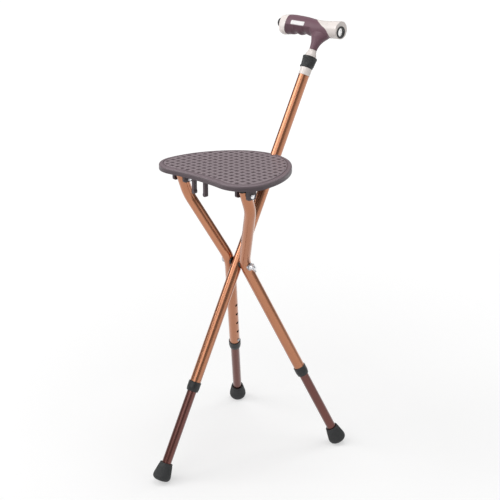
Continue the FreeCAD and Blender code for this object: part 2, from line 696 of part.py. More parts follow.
def pivot():
    """Bolt through both legs and the stick, with spacers, saddle washers and the wing nut."""
    outer_face = WAIST + TUBE_R
    spacers = []
    saddles = []
    for name, sign in SIDES:
        start = TUBE_R + size("run_gap")
        length = "waist_gap - run_gap + wrap_depth"
        spacers.append(fitted_washer(f"{name}_spacer", sign, "spacer_width", start, length))
        start = outer_face - size("wrap_depth")
        length = "saddle_proud + wrap_depth"
        saddles.append(fitted_washer(f"{name}_saddle", sign, "saddle_width", start, length))
    grouped("pivot_spacers", spacers)
    grouped("pivot_washers", saddles)

    head = outer_face + size("saddle_proud")
    end = f"{2 * head} + hub_length + bolt_spare"
    bolt = turned(
        "pivot_bolt",
        (
            (0, "0 - bolt_rise"),
            ("bolt_cap * 0.28", "0 - bolt_rise"),
            ("bolt_cap * 0.47", "0 - bolt_rise * 0.72"),
            ("bolt_cap / 2", 0),
            ("bolt_width / 2", 0),
            ("bolt_width / 2", end),
            ("bolt_width * 0.4", f"{end} + bolt_width / 10"),
            (0, f"{end} + bolt_width / 10"),
        ),
        across(LEGS, -head),
    )
    keep("pivot_bolt", bolt)

    nut = turned(
        "wing_nut",
        (
            ("bolt_width / 2 + pin_gap", 0),
            ("bolt_width * 0.95", 0),
            ("bolt_width * 0.85", "hub_length"),
            ("bolt_width / 2 + pin_gap", "hub_length"),
        ),
        across(LEGS, head + 2 * size("fit_gap")),
    )
    for side in (-1, 1):
        wing = new_sketch(nut, "XZ_Plane")
        outline(wing, [(f"wing_span * {side * x}", f"hub_length * {z}") for x, z in WING])
        pad(nut, wing, "wing_thick", midplane=True)
    keep("wing_nut", nut)


# The seat

def seat_arcs(inset):
    """The seat's outline moved inwards by inset, as tangent arcs: round end, sides, lobes and notch."""
    half = size("seat_width") / 2
    lobe_r = size("lobe_radius")
    lobe_x = half - lobe_r
    side_r = size("side_radius")
    side_x = half - side_r
    lobe_y = size("lobe_back") - size("seat_front")
    # the round end's radius follows from its reach, so that it runs smoothly into the sides
    reach = size("seat_back") - lobe_y
    round_r = (side_r**2 - side_x**2 - reach**2) / (2 * (side_r - reach))
    round_y = size("seat_back") - round_r
    rise = size("lobe_back")
    notch_r = (lobe_x**2 + rise**2 - lobe_r**2) / (2 * (lobe_r - rise))
    notch_y = -size("seat_front") - notch_r
    # the sides start where they touch the round end and reach the lobes at the widest place
    side_y = lobe_y
    lean = math.atan2(round_y - side_y, -side_x)
    fall = math.atan2(side_y - notch_y, lobe_x)
    # insets shrink the arcs that bulge and widen the one that is hollow
    top_r = round_r - inset
    side_in = side_r - inset
    lobe_in = lobe_r - inset
    notch_in = notch_r + inset

    def polar(x, y, radius, angle):
        return Vector(x + radius * math.cos(angle), y + radius * math.sin(angle), 0)

    def arc(x, y, radius, first, last):
        middle = (first + last) / 2
        return Part.Arc(*(polar(x, y, radius, angle) for angle in (first, middle, last)))

    return (
        arc(0, round_y, top_r, math.pi - lean, lean),
        arc(side_x, side_y, side_in, lean, 0),
        arc(lobe_x, lobe_y, lobe_in, 0, fall - math.pi),
        arc(0, notch_y, notch_in, fall, math.pi - fall),
        arc(-lobe_x, lobe_y, lobe_in, -fall, -math.pi),
        arc(-side_x, side_y, side_in, math.pi, math.pi - lean),
    )


def side_reach(y, inset):
    """Half the seat's width at a place along it, less an inset, on the stretch with the long sides."""
    centre = size("seat_width") / 2 - size("side_radius")
    along = y - (size("lobe_back") - size("seat_front"))
    return centre + math.sqrt((size("side_radius") - inset) ** 2 - along**2)


def trace(sketch, items):
    """Puts worked-out arcs into a sketch, joined end to end and fixed."""
    for item in items:
        sketch.addGeometry(item, False)
        sketch.addConstraint(Sketcher.Constraint("Block", sketch.GeometryCount - 1))


def boxes(body, role, offset, rectangles, length, midplane=False, backwards=False):
    """Pads rectangles, each given by low and high corner, from a plane at an offset."""
    for low_x, low_y, high_x, high_y in rectangles:
        sketch = new_sketch(body, role, Placement(offset, Rotation()))
        outline(sketch, ((low_x, low_y), (high_x, low_y), (high_x, high_y), (low_x, high_y)))
        pad(body, sketch, length, midplane=midplane, backwards=backwards)


RIM_HEIGHT = HINGE.z + size("seat_rise") - size("seat_depth")
REST_CENTRE = RIM_HEIGHT - size("rest_gap") - size("rest_width") / 2
REST_HEIGHT = (REST_CENTRE - size("pivot_height")) / math.cos(STICK_LEAN)


def seat():
    """Moulded seat: rimmed plate with ribs, two pairs of hinge ears, clip prongs and the stick's saddle."""
    body = new_body("seat_shell", SEAT)
    top = size("seat_rise")
    rim = top - size("seat_depth")
    under = top - size("seat_wall")
    plate = new_sketch(body, "XY_Plane", Placement(Vector(0, 0, rim), Rotation()))
    trace(plate, seat_arcs(0))
    pad(body, plate, "seat_depth")
    rounded(body, "edge_round", lambda edge: edge.BoundBox.ZMin > top - 0.01)
    hollow = new_sketch(body, "XY_Plane", Placement(Vector(0, 0, rim), Rotation()))
    trace(hollow, seat_arcs(size("seat_wall")))
    pocket(body, hollow, "seat_depth - seat_wall", backwards=True)
    groove = new_sketch(body, "XY_Plane", Placement(Vector(0, 0, top), Rotation()))
    trace(groove, seat_arcs(size("lip_width")))
    trace(groove, seat_arcs(size("lip_width") + size("groove_width")))
    pocket(body, groove, "groove_depth")
    field = new_sketch(body, "XY_Plane", Placement(Vector(0, 0, top), Rotation()))
    trace(field, seat_arcs(size("border_width")))
    pocket(body, field, "field_depth")

    # ribs end inside the rim, and the middle strip stays free for the folded stick
    into = under + size("seat_wall") / 6
    rib = size("rib_thick") / 2
    apart = size("rib_apart")
    front = -size("seat_front") - size("seat_wall") / 3
    back = size("seat_back") - size("rib_back")
    ribs = [(x - rib, front, x + rib, back) for x in (-apart, apart)]
    for y in (size("rib_near"), size("rib_far")):
        for sign in (-1, 1):
            near, far = sorted((sign * size("rib_clear"), sign * side_reach(y + rib, size("seat_wall") / 2)))
            ribs.append((near, y - rib, far, y + rib))
    boxes(body, "XY_Plane", Vector(0, 0, into), ribs, "rib_depth + seat_wall / 6", backwards=True)

    # hinge ears, one on each side of each leg tube
    inner = TUBE_R + size("ear_gap")
    half = size("ear_width") / 2
    for _, sign in SIDES:
        for out in (-1, 1):
            face = sign * size("shoulder_spacing") + out * (inner + size("ear_thick") / 2)
            ear = ((-half, -size("ear_drop"), half, into),)
            boxes(body, "YZ_Plane", Vector(0, 0, face), ear, "ear_thick", midplane=True)
    bores = new_sketch(body, "YZ_Plane")
    circle(bores, 0, 0, "screw_width + 2 * fit_gap")
    doc.recompute()
    rounded(
        body,
        "ear_round",
        lambda edge: edge.BoundBox.ZMax < 0.01 - size("ear_drop")
        and edge.BoundBox.YLength < 0.01
        and abs(edge.CenterOfMass.x) > inner,
    )
    pocket(body, bores)

    # clip prongs that hold the folded stick, each with a barb at its tip, and the stop between them
    plane = Vector(0, 0, size("prong_front") - size("prong_width") / 2)
    half_gap = size("prong_gap") / 2
    tip = -size("prong_drop")
    for sign in (-1, 1):
        prong = new_sketch(body, "XZ_Plane", Placement(plane, Rotation()))
        inside = sign * half_gap
        outside = sign * (half_gap + size("prong_thick"))
        barb = sign * (TUBE_R + size("barb_gap"))
        outline(
            prong,
            (
                (inside, into),
                (inside, tip + size("barb_length")),
                (barb, tip + size("barb_length") / 2),
                (inside, tip),
                (outside, tip),
                (outside, into),
            ),
        )
        pad(body, prong, "prong_width")
    half = size("stop_width") / 2
    stop = ((-half, under - size("stop_depth"), half, into),)
    boxes(body, "XZ_Plane", plane, stop, "prong_width")

    # saddle block at the round end, cut to lie against the leaning stick
    block_back = size("seat_back") - size("seat_wall") * 0.85
    block = (-size("saddle_half"), block_back - size("saddle_long"), size("saddle_half"), block_back)
    boxes(body, "XY_Plane", Vector(0, 0, rim), (block,), "seat_depth - seat_wall / 2")
    doc.recompute()
    to_pivot = PIVOT - HINGE
    cut_start = REST_HEIGHT - size("saddle_reach")
    middle = STICK_TURN.multVec(Vector(0, 0, cut_start))
    cutter = body.newObject("PartDesign::SubtractiveCylinder", "saddle_round")
    cutter.Radius = TUBE_R + size("saddle_gap")
    bind(cutter, "Radius", "tube_outer / 2 + saddle_gap")
    cutter.Height = 3 * size("saddle_reach")
    bind(cutter, "Height", "3 * saddle_reach")
    cutter.AttachmentSupport = [(origin_plane(body, "XY_Plane"), "")]
    cutter.MapMode = "FlatFace"
    cutter.AttachmentOffset = Placement(to_pivot + middle, STICK_TURN)
    mouth = body.newObject("PartDesign::SubtractiveBox", "saddle_mouth")
    mouth.Length = 2 * (TUBE_R + size("saddle_gap"))
    bind(mouth, "Length", "tube_outer + 2 * saddle_gap")
    mouth.Width = size("saddle_reach")
    bind(mouth, "Width", "saddle_reach")
    mouth.Height = 3 * size("saddle_reach")
    bind(mouth, "Height", "3 * saddle_reach")
    mouth.AttachmentSupport = [(origin_plane(body, "XY_Plane"), "")]
    mouth.MapMode = "FlatFace"
    corner = STICK_TURN.multVec(Vector(-TUBE_R - size("saddle_gap"), 0, cut_start))
    mouth.AttachmentOffset = Placement(to_pivot + corner, STICK_TURN)
    doc.recompute()
    keep("seat_shell", body)

    # hinge screws with their heads on the outer ears and nuts on the inner ones
    screws = []
    nuts = []
    far = size("shoulder_spacing") + inner + size("ear_thick")
    span = 2 * (inner + size("ear_thick"))
    for name, sign in SIDES:
        frame = across(SEAT, sign * far, -sign)
        screws.append(
            turned(
                f"{name}_screw",
                (
                    (0, "0 - screw_rise"),
                    ("screw_cap * 0.26", "0 - screw_rise"),
                    ("screw_cap * 0.48", "0 - screw_rise * 0.57"),
                    ("screw_cap / 2", 0),
                    ("screw_width / 2", 0),
                    ("screw_width / 2", f"{span} + hex_thick + screw_spare"),
                    (0, f"{span} + hex_thick + screw_spare"),
                ),
                frame,
            )
        )
        nut = new_body(f"{name}_nut", across(SEAT, sign * (far - span), -sign))
        flats = new_sketch(nut, "XY_Plane")
        reach = "screw_width * 0.92"
        outline(flats, [(f"{reach} * cos({60 * k} deg)", f"{reach} * sin({60 * k} deg)") for k in range(6)])
        circle(flats, 0, 0, "screw_width + 2 * fit_gap")
        pad(nut, flats, "hex_thick")
        nuts.append(nut)
    grouped("hinge_screws", screws)
    grouped("hinge_nuts", nuts)


# The top of the stick: bush, lock collar, neck ring and the tube inside the handle's stem

def neck():
    bore = "stem_outer / 2 + fit_gap"
    bush = turned(
        "top_bush",
        (
            (bore, "stick_top - bush_inside"),
            ("tube_outer / 2 - tube_wall - fit_gap", "stick_top - bush_inside"),
            ("tube_outer / 2 - tube_wall - fit_gap", "stick_top + fit_gap"),
            ("tube_outer / 2 + fit_gap", "stick_top + fit_gap"),
            ("tube_outer / 2 + fit_gap", "stick_top - collar_lip"),
            ("tube_outer / 2 + bush_lip", "stick_top - collar_lip"),
            ("tube_outer / 2 + bush_lip", "nut_bottom - fit_gap"),
            ("neck_outer / 2", "nut_bottom - fit_gap"),
            ("neck_outer / 2", "nut_top - nut_cover - 2 * run_gap"),
            (bore, "nut_top - nut_cover - 2 * run_gap"),
        ),
        STICK,
    )
    keep("top_bush", bush)
    lock = turned(
        "lock_collar",
        (
            ("neck_outer / 2 + run_gap", "nut_bottom + run_gap"),
            ("nut_narrow / 2 - nut_edge / 2", "nut_bottom + run_gap"),
            ("nut_narrow / 2", "nut_bottom + nut_edge"),
            ("nut_wide / 2", "nut_top - 1.5 * nut_edge"),
            ("nut_wide / 2 - nut_edge", "nut_top"),
            ("stem_outer / 2 + run_gap", "nut_top"),
            ("stem_outer / 2 + run_gap", "nut_top - nut_cover"),
            ("neck_outer / 2 + run_gap", "nut_top - nut_cover"),
        ),
        STICK,
    )
    keep("lock_collar", lock)
    neck_ring = turned(
        "neck_ring",
        (
            (bore, "nut_top + run_gap"),
            ("ring_wide / 2", "nut_top + run_gap"),
            ("ring_wide / 2 - nut_edge", "nut_top + ring_length / 3"),
            ("ring_narrow / 2 + nut_edge / 2", "grip_bottom - ring_length / 4"),
            ("ring_narrow / 2", "grip_bottom - fit_gap"),
            (bore, "grip_bottom - fit_gap"),
        ),
        STICK,
    )
    keep("neck_ring", neck_ring)
    stem = ring(
        "stem_tube",
        "stem_outer",
        "stem_outer - 2 * stem_wall",
        "stick_top - stem_inside",
        "grip_bottom + stem_deep",
        STICK,
    )
    cross = new_sketch(stem, "XZ_Plane")
    circle(cross, 0, "grip_bottom + pin_above", "pin_width + 2 * fit_gap")
    pocket(stem, cross)
    keep("stem_tube", stem)
    pin_height = size("grip_bottom") + size("pin_above")
    side = along_stick(pin_height).multiply(Placement(Vector(), Rotation(Vector(1, 0, 0), 90)))
    keep("stem_pin", ring("stem_pin", "pin_width", "0", "0 - pin_half", "pin_half", side))


# The handle, in the stick's frame: x across, y to the rear, z up the stick

HANDLE = along_stick(size("handle_height"))
# each section: its stretch of the handle and place along it, then top, bottom and half depth as shares
# of handle_rise and handle_half, squareness, and how far its top leans to the left
HANDLE_SECTIONS = (
    ("cap", 0.00, 0.65, -0.94, 0.77, 2.3, 0.14),
    ("cap", 0.06, 0.75, -1.10, 0.87, 2.4, 0.14),
    ("cap", 0.23, 0.82, -1.19, 0.92, 2.5, 0.13),
    ("cap", 0.55, 0.89, -1.20, 0.96, 2.5, 0.08),
    ("cap", 1.00, 0.96, -1.13, 0.99, 2.4, 0.00),
    ("grip", 0.07, 0.99, -1.08, 1.00, 2.4, 0.00),
    ("grip", 0.14, 1.00, -1.05, 1.00, 2.4, 0.00),
    ("grip", 0.23, 0.99, -0.89, 0.99, 2.4, 0.00),
    ("grip", 0.34, 0.97, -1.01, 0.98, 2.4, 0.00),
    ("grip", 0.46, 0.93, -0.83, 0.97, 2.4, 0.00),
    ("grip", 0.57, 0.87, -0.95, 0.97, 2.4, 0.00),
    ("grip", 0.70, 0.80, -0.97, 0.98, 2.3, 0.00),
    ("grip", 0.85, 0.78, -0.95, 1.01, 2.2, 0.00),
    ("torch", 0.00, 0.82, -0.91, 1.05, 2.1, 0.00),
    ("torch", 0.53, 0.91, -0.88, 1.10, 2.0, 0.00),
    ("torch", 1.00, 0.99, -0.86, 1.14, 2.0, 0.00),
)
# each section: height as a share of stem_length, centre and half width along x, half depth
STEM_SECTIONS = (
    (0.00, 0.3, 7.1, 6.8),
    (0.16, 0.6, 7.9, 7.4),
    (0.33, 1.5, 10.0, 8.4),
    (0.47, 2.8, 13.4, 9.8),
    (0.58, 4.6, 17.6, 11.2),
    (0.72, 6.6, 21.5, 12.2),
)
# seam between grip and torch housing, as shares of torch_right and handle_rise
TORCH_SEAM = (
    (-0.50, 1.25),
    (-0.17, 0.70),
    (0.00, 0.43),
    (0.25, 0.03),
    (0.46, -0.25),
    (0.58, -0.55),
    (0.63, -0.89),
    (0.64, -1.45),
)


def closed_curve(points):
    curve = Part.BSplineCurve()
    curve.interpolate(Points=points, PeriodicFlag=True)
    return Part.Wire([curve.toShape()])


def signed_power(number, power):
    return math.copysign(abs(number) ** power, number)


def handle_section(x, high, low, half, square, lean):
    """Rounded rectangle across the handle, from a superellipse, with its top leant to the left."""
    centre = (high + low) / 2
    rise = (high - low) / 2
    points = []
    for k in range(20):
        angle = 2 * math.pi * k / 20
        y = half * signed_power(math.cos(angle), 2 / square)
        z = centre + rise * signed_power(math.sin(angle), 2 / square)
        points.append(Vector(x - lean * z, y, z))
    return closed_curve(points)


def handle_form():
    """Outer form of the whole handle: the crosspiece, and the stem that flares into it."""
    stretches = {
        "cap": ("cap_left", "grip_left"),
        "grip": ("grip_left", "torch_left"),
        "torch": ("torch_left", "torch_right"),
    }
    sections = []
    for stretch, place, high, low, half, square, lean in HANDLE_SECTIONS:
        start, end = (size(alias) for alias in stretches[stretch])
        rise = size("handle_rise")
        x = start + place * (end - start)
        sections.append(handle_section(x, high * rise, low * rise, half * size("handle_half"), square, lean))
    cross = Part.makeLoft(sections, True)
    wires = []
    for share, centre, half_x, half_y in STEM_SECTIONS:
        height = (share - 1) * size("stem_length")
        ellipse = Part.Ellipse(Vector(centre, 0, height), half_x, half_y)
        wires.append(Part.Wire([ellipse.toShape()]))
    return cross, Part.makeLoft(wires, True)


def right_of_seam():
    """Block that holds everything beyond the curved seam between grip and torch housing."""
    far = size("torch_right") * 1.5
    points = [Vector(x * size("torch_right"), 0, z * size("handle_rise")) for x, z in TORCH_SEAM]
    seam = Part.BSplineCurve()
    seam.interpolate(points)
    top = Vector(far, 0, points[0].z)
    bottom = Vector(far, 0, points[-1].z)
    edges = [
        seam.toShape(),
        Part.LineSegment(points[-1], bottom).toShape(),
        Part.LineSegment(bottom, top).toShape(),
        Part.LineSegment(top, points[0]).toShape(),
    ]
    return across_handle(Part.Face(Part.Wire(Part.__sortEdges__(edges))))


def across_handle(face):
    """Block made of an upright face, from well before the handle to well behind it."""
    deep = 2 * size("handle_half")
    block = face.extrude(Vector(0, 2 * deep, 0))
    block.translate(Vector(0, -deep, 0))
    return block


def left_of_cap():
    """Block that holds everything beyond the straight seam between end cap and grip."""
    tall = 2 * size("handle_rise")
    length = 2 * (size("grip_left") - size("cap_left"))
    corner = Vector(size("grip_left") - length, -tall, -tall)
    return Part.makeBox(length, 2 * tall, 2 * tall, corner)


def rod(radius, start, end, drop=0.0):
    """Round rod along the handle's axis, or a drop below it."""
    return Part.makeCylinder(radius, end - start, Vector(start, 0, -drop), Vector(1, 0, 0))


def coil(radius, turns, start, end):
    """Coil spring along the handle's axis, swept along arcs of a quarter turn."""
    wire = size("coil_wire") / 2
    rise = end - start - 2 * wire

    def spot(share):
        angle = 2 * math.pi * turns * share
        return Vector(start + wire + rise * share, radius * math.cos(angle), radius * math.sin(angle))

    steps = 4 * turns
    arcs = [Part.Arc(spot(k / steps), spot((k + 0.5) / steps), spot((k + 1) / steps)) for k in range(steps)]
    ahead = arcs[0].tangent(arcs[0].FirstParameter)[0]
    section = Part.Wire([Part.Circle(spot(0), ahead, wire).toShape()])
    path = Part.Wire([arc.toShape() for arc in arcs])
    return path.makePipeShell([section], True, False)


def lamp(lamp_start):
    """Torch at the right end: board, lamp, reflector, lens and bezel, from the start of their bore."""
    fit = size("fit_gap")
    drop = size("lamp_drop")
    right = size("torch_right")
    lamp_r = size("lamp_width") / 2 - fit
    led_r = size("led_width") / 2
    led_start = lamp_start - size("lamp_sunk")
    led_end = led_start + size("led_length")
    dome = Part.makeSphere(led_r, Vector(led_end, 0, -drop))
    shaped("led", rod(led_r, led_start, led_end, drop).fuse(dome), HANDLE)

    cone_end = right - size("lens_depth")
    band_start = cone_end - size("cone_band")
    throat = size("cone_throat") / 2
    wall = size("cone_wall")
    start = Vector(lamp_start, 0, -drop)
    outside = Part.makeCone(throat + wall, lamp_r, band_start - lamp_start, start, Vector(1, 0, 0))
    outside = outside.fuse(rod(lamp_r, band_start, cone_end, drop))
    inside = Part.makeCone(throat, lamp_r - wall, cone_end - lamp_start, start, Vector(1, 0, 0))
    shaped("reflector", outside.cut(inside), HANDLE)

    lens_end = cone_end + size("lens_thick")
    shaped("lens", rod(lamp_r, cone_end, lens_end, drop), HANDLE)
    face = right + size("bezel_proud")
    bezel = rod(lamp_r, lens_end, right, drop).fuse(rod(size("bezel_width") / 2, right, face, drop))
    bezel = bezel.cut(rod(size("lens_view") / 2, cone_end, 2 * right, drop))
    edges = [edge for edge in bezel.Edges if edge.BoundBox.XMin > face - fit]
    shaped("torch_bezel", bezel.makeFillet(size("bezel_proud") / 3, edges), HANDLE)


def handle():
    """Soft grip, hard end cap and torch housing, with the torch inside."""
    fit = size("fit_gap")
    run = size("run_gap")
    cell_r = size("cell_width") / 2
    tube_in = cell_r + run
    tube_out = tube_in + size("carrier_wall")
    cap_end = size("cap_left")
    right = size("torch_right")

    # places along the handle, from the torch back to the button
    lamp_start = right - size("lamp_long")
    led_start = lamp_start - size("lamp_sunk")
    tube_end = led_start - size("board_thick")
    cell_pitch = size("cell_length") + 2 * fit
    cell_start = tube_end - size("contact_rise") - 2 * cell_pitch
    tube_start = cell_start - size("cell_room")
    block_end = tube_start - size("carrier_gap")
    block_start = cap_end + size("push_well")

    # bores for the torch, the stem tube and its cross pin
    long_bore = rod(tube_out + fit, block_start, lamp_start)
    lamp_bore = rod(size("lamp_width") / 2, lamp_start, 2 * right, size("lamp_drop"))
    bottom = -size("stem_length")
    stem_r = size("stem_outer") / 2 + fit
    stem_bore = Part.makeCylinder(stem_r, size("stem_deep") + 2 * fit, Vector(0, 0, bottom - fit))
    pin_reach = size("pin_half") + 2 * fit
    pin_start = Vector(0, -pin_reach, bottom + size("pin_above"))
    pin_bore = Part.makeCylinder(size("pin_width") / 2 + fit, 2 * pin_reach, pin_start, Vector(0, 1, 0))

    def plate_block(spare, front, back):
        """Block around the bare plate, wider than it by spare all round, between two depths."""
        wide = size("plate_length") + 2 * spare
        tall = size("plate_height") + 2 * spare
        left = size("plate_middle") - wide / 2
        return Part.makeBox(wide, back - front, tall, Vector(left, front, -size("plate_low") - tall / 2))

    plate_front = -size("handle_half") - size("plate_proud")
    plate_back = plate_front + size("plate_thick")
    plate_pocket = plate_block(fit, 2 * plate_front, plate_back + fit)

    cross, stem = handle_form()
    torch_region = right_of_seam()
    cap_region = left_of_cap()
    grip = cross.cut(torch_region).cut(cap_region).fuse(stem.cut(torch_region))
    for hollow in (long_bore, stem_bore, pin_bore, lamp_bore, plate_pocket):
        grip = grip.cut(hollow)
    shaped("grip", grip.removeSplitter(), HANDLE)
    shaped("label_plate", plate_block(0, plate_front, plate_back), HANDLE)

    torch = cross.common(torch_region).cut(lamp_bore)
    torch = torch.cut(rod(tube_out + fit, size("grip_left"), lamp_start + fit))
    shaped("torch_housing", torch.cut(stem), HANDLE)

    well = rod(size("push_width") / 2 + run, 2 * cap_end, block_start)
    well = well.fuse(rod(tube_out + fit, block_start - fit, 0))
    shaped("end_cap", cross.common(cap_region).cut(well), HANDLE)
    shaped("switch_block", rod(tube_out, block_start, block_end), HANDLE)

    # the button moves in its well on a plunger, with a spring behind its head
    dome_start = cap_end - size("push_proud")
    head_end = block_start - size("button_room")
    button = rod(size("push_width") / 2, dome_start, head_end)
    edges = [edge for edge in button.Edges if edge.BoundBox.XMax < dome_start + fit]
    button = button.makeFillet(size("push_round"), edges)
    plunger_end = block_start - size("push_travel") - run
    button = button.fuse(rod(size("plunger_width") / 2, head_end - run, plunger_end))
    shaped("torch_button", button, HANDLE)
    shaped("button_spring", coil(size("button_coil") / 2, 3, head_end, block_start), HANDLE)

    carrier = rod(tube_out, tube_start, tube_end).cut(rod(tube_in, tube_start - run, tube_end + run))
    shaped("battery_tube", carrier, HANDLE)
    cells = []
    for start in (cell_start, cell_start + cell_pitch):
        nub = start + size("cell_length") - size("nub_length")
        tip = rod(size("nub_width") / 2, nub, start + size("cell_length"))
        cells.append(rod(cell_r, start, nub).fuse(tip))
    shaped("battery_cells", Part.makeCompound(cells), HANDLE)
    shaped("battery_spring", coil(size("cell_coil") / 2, 2, block_end, cell_start), HANDLE)
    contact_end = tube_end + size("board_thick") / 2
    contact = rod(size("contact_width") / 2, tube_end - size("contact_rise"), contact_end)
    shaped("led_board", rod(tube_out, tube_end, led_start).fuse(contact), HANDLE)
    lamp(lamp_start)


stick()
for side_name, side_sign in SIDES:
    leg(side_name, side_sign)
leg_plugs()
pivot()
seat()
neck()
handle()
doc.recompute()

for thing in doc.Objects:
    if "Invalid" in thing.State or "Error" in thing.State:
        raise RuntimeError(f"{thing.Label} failed: {thing.State}")
for label, thing in parts.items():
    shape = thing.Shape
    if shape.isNull() or not shape.isValid() or not shape.Solids:
        raise RuntimeError(f"{label} has no valid shape")

os.makedirs("parts", exist_ok=True)
for label, thing in parts.items():
    thing.Shape.exportStep(f"parts/{label}.step")

print(f"{len(parts)} sub-parts")
print(f"stick reach {STICK_REACH:.3f}, leg depth {LEG_DEPTH:.3f}")
print(f"leg slant {math.degrees(LEG_SLANT):.3f}, arm slant {math.degrees(ARM_SLANT):.3f}")
print(f"hinge at {HINGE}, rest pin {REST_HEIGHT:.3f} up the stick")
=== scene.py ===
"""Looks of the walking stick seat.

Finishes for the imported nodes, and new surfaces for the pieces whose fine relief is modelled here. Their sizes
are in millimetres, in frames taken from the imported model.
"""

import json
import math

import bmesh
import bpy
import numpy as np
from bpy.props import FloatProperty, FloatVectorProperty, IntProperty, PointerProperty
from mathutils import Matrix, Vector


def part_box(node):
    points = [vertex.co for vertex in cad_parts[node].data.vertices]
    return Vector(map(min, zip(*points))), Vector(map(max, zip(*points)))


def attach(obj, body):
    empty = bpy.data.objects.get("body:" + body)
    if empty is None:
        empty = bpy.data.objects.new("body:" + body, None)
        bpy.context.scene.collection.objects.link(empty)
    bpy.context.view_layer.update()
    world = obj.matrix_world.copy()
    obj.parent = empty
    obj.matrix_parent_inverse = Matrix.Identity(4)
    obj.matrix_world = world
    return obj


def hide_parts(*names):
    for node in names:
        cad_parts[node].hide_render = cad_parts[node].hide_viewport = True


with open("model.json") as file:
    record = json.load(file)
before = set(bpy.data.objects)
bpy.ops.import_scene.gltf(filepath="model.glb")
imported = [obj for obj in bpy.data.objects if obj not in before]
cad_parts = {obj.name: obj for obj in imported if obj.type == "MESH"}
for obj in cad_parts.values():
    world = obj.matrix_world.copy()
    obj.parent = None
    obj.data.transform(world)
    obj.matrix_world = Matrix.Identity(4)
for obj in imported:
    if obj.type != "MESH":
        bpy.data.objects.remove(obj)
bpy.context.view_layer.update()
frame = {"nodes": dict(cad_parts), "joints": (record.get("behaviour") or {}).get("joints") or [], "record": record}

bl_info = {
    "name": "Walking stick seat",
    "version": (1, 0, 0),
    "blender": (4, 5, 0),
    "location": "3D View > Sidebar > Seat stick",
    "description": "Builds the finishes and fine pieces of a folding walking stick seat",
    "category": "Object",
}

MM = 0.001
JOINTS = {joint["name"]: joint for joint in frame["joints"]}
MOUNTS = {mount["name"]: mount for mount in frame["record"]["mounts"]}


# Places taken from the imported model

def upright_frame(origin, up):
    """Frame whose Z runs along up and whose X stays as near to the model's X as it can."""
    up = Vector(up).normalized()
    back = up.cross(Vector((1, 0, 0))).normalized()
    side = back.cross(up)
    frame_matrix = Matrix((side, back, up)).transposed().to_4x4()
    frame_matrix.translation = Vector(origin)
    return frame_matrix


def moved(x=0.0, y=0.0, z=0.0):
    """Shift of a frame along its own axes, in millimetres."""
    return Matrix.Translation((x * MM, y * MM, z * MM))


def swung(degrees, axis):
    """Turn of a frame about one of its own axes."""
    return Matrix.Rotation(math.radians(degrees), 4, axis)


PIVOT = Vector(JOINTS["fold"]["pos_m"])
SEAT_HINGE = Vector(JOINTS["seat_fold"]["pos_m"])
UP_STICK = Vector(JOINTS["lock_collar_turn"]["axis"])
STICK = upright_frame(PIVOT, UP_STICK)
LEGS = upright_frame(PIVOT, SEAT_HINGE - PIVOT)
SEAT_LOW, SEAT_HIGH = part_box("seat_shell")
SIDES = (("left", -1), ("right", 1))


def linear(red, green, blue):
    """Scene-linear colour of an sRGB colour given from 0 to 255."""
    def channel(value):
        value /= 255
        return value / 12.92 if value <= 0.04045 else ((value + 0.055) / 1.055) ** 2.4

    return tuple(channel(value) for value in (red, green, blue))


# Sizes and colours that a user would change

def length(name, description, default):
    return FloatProperty(
        name=name, description=description, default=default * MM, min=0, unit="LENGTH", precision=5
    )


def amount(name, description, default, **limits):
    return FloatProperty(name=name, description=description, default=default, min=0, **limits)


def count(name, description, default):
    return IntProperty(name=name, description=description, default=default, min=3)


def colour(name, description, *rgb):
    return FloatVectorProperty(
        name=name, description=description, default=linear(*rgb), subtype="COLOR", size=3, min=0, max=1
    )


class SeatLook(bpy.types.PropertyGroup):
    pitch: length("Strand pitch", "Spacing of the woven strands", 13.2)
    strand: length("Strand width", "Width of one strand", 7.8)
    crown: length("Strand crown", "Height of a strand's rounded top", 0.6)
    weave: length("Weave height", "Rise and fall of a strand over its neighbours", 0.24)
    inset: length("Field inset", "Smooth border around the woven field", 9.6)
    plastic: colour("Seat plastic", "Colour of the moulded seat", 84, 71, 77)
    # Rim top: painted highlight, the same plastic drawn paler where the rim's top faces the light
    rim: colour("Rim top", "Colour of the rim's rubbed top", 126, 111, 117)
    # Strand tops and weave hollows: painted highlight on the strand tops and painted shade between the strands,
    # both the same plastic
    strand_highlight: colour("Strand tops", "Colour of the strands, rubbed paler than the rim", 146, 132, 137)
    hollow: colour("Weave hollows", "Colour between the strands", 74, 60, 65)


class TubeLook(bpy.types.PropertyGroup):
    bronze: colour("Bronze", "Anodised upper tubes", 184, 120, 84)
    brown: colour("Dark brown", "Anodised lower tubes", 108, 58, 50)
    roughness: amount("Roughness", "Gloss of the tubes", 0.2, max=1)


class RubberLook(bpy.types.PropertyGroup):
    foot: colour("Foot rubber", "Rubber feet", 52, 53, 54)
    black: colour("Black plastic", "Collars, lock collar and bezel", 38, 39, 40)
    ribs: count("Foot ribs", "Ribs around a rubber foot", 36)
    collar_ribs: count("Collar ribs", "Ribs around the lock collar", 30)


class HandleLook(bpy.types.PropertyGroup):
    grip: colour("Grip", "Soft maroon grip", 114, 80, 92)
    # Finger zone: painted shade, the grip's rubber drawn darker below the ledge
    fingers: colour("Finger zone", "Darker rubber under the fingers", 84, 50, 62)
    ivory: colour("Ivory", "Hard ivory plastic", 246, 237, 232)
    voxel: length("Blend size", "Grid that joins stem and crosspiece", 0.75)


class StageLook(bpy.types.PropertyGroup):
    floor: colour("Floor", "Floor around the stick", 190, 190, 190)
    glow_near: amount("Glow near", "Floor's own light beside the stick", 0.5)
    glow_far: amount("Glow far", "Floor's own light in the distance", 0.9)
    key: amount("Key light", "Power of the main light, front left", 35.0, unit="POWER")
    front: amount("Front light", "Power of the light in front", 15.5, unit="POWER")
    top: amount("Top light", "Power of the light above", 26.0, unit="POWER")
    fill: amount("Fill light", "Power of the side light", 6.0, unit="POWER")
    back: amount("Back light", "Power of the rear light", 8.0, unit="POWER")
    world: amount("World", "Even light from all round", 0.26)


# Surfaces

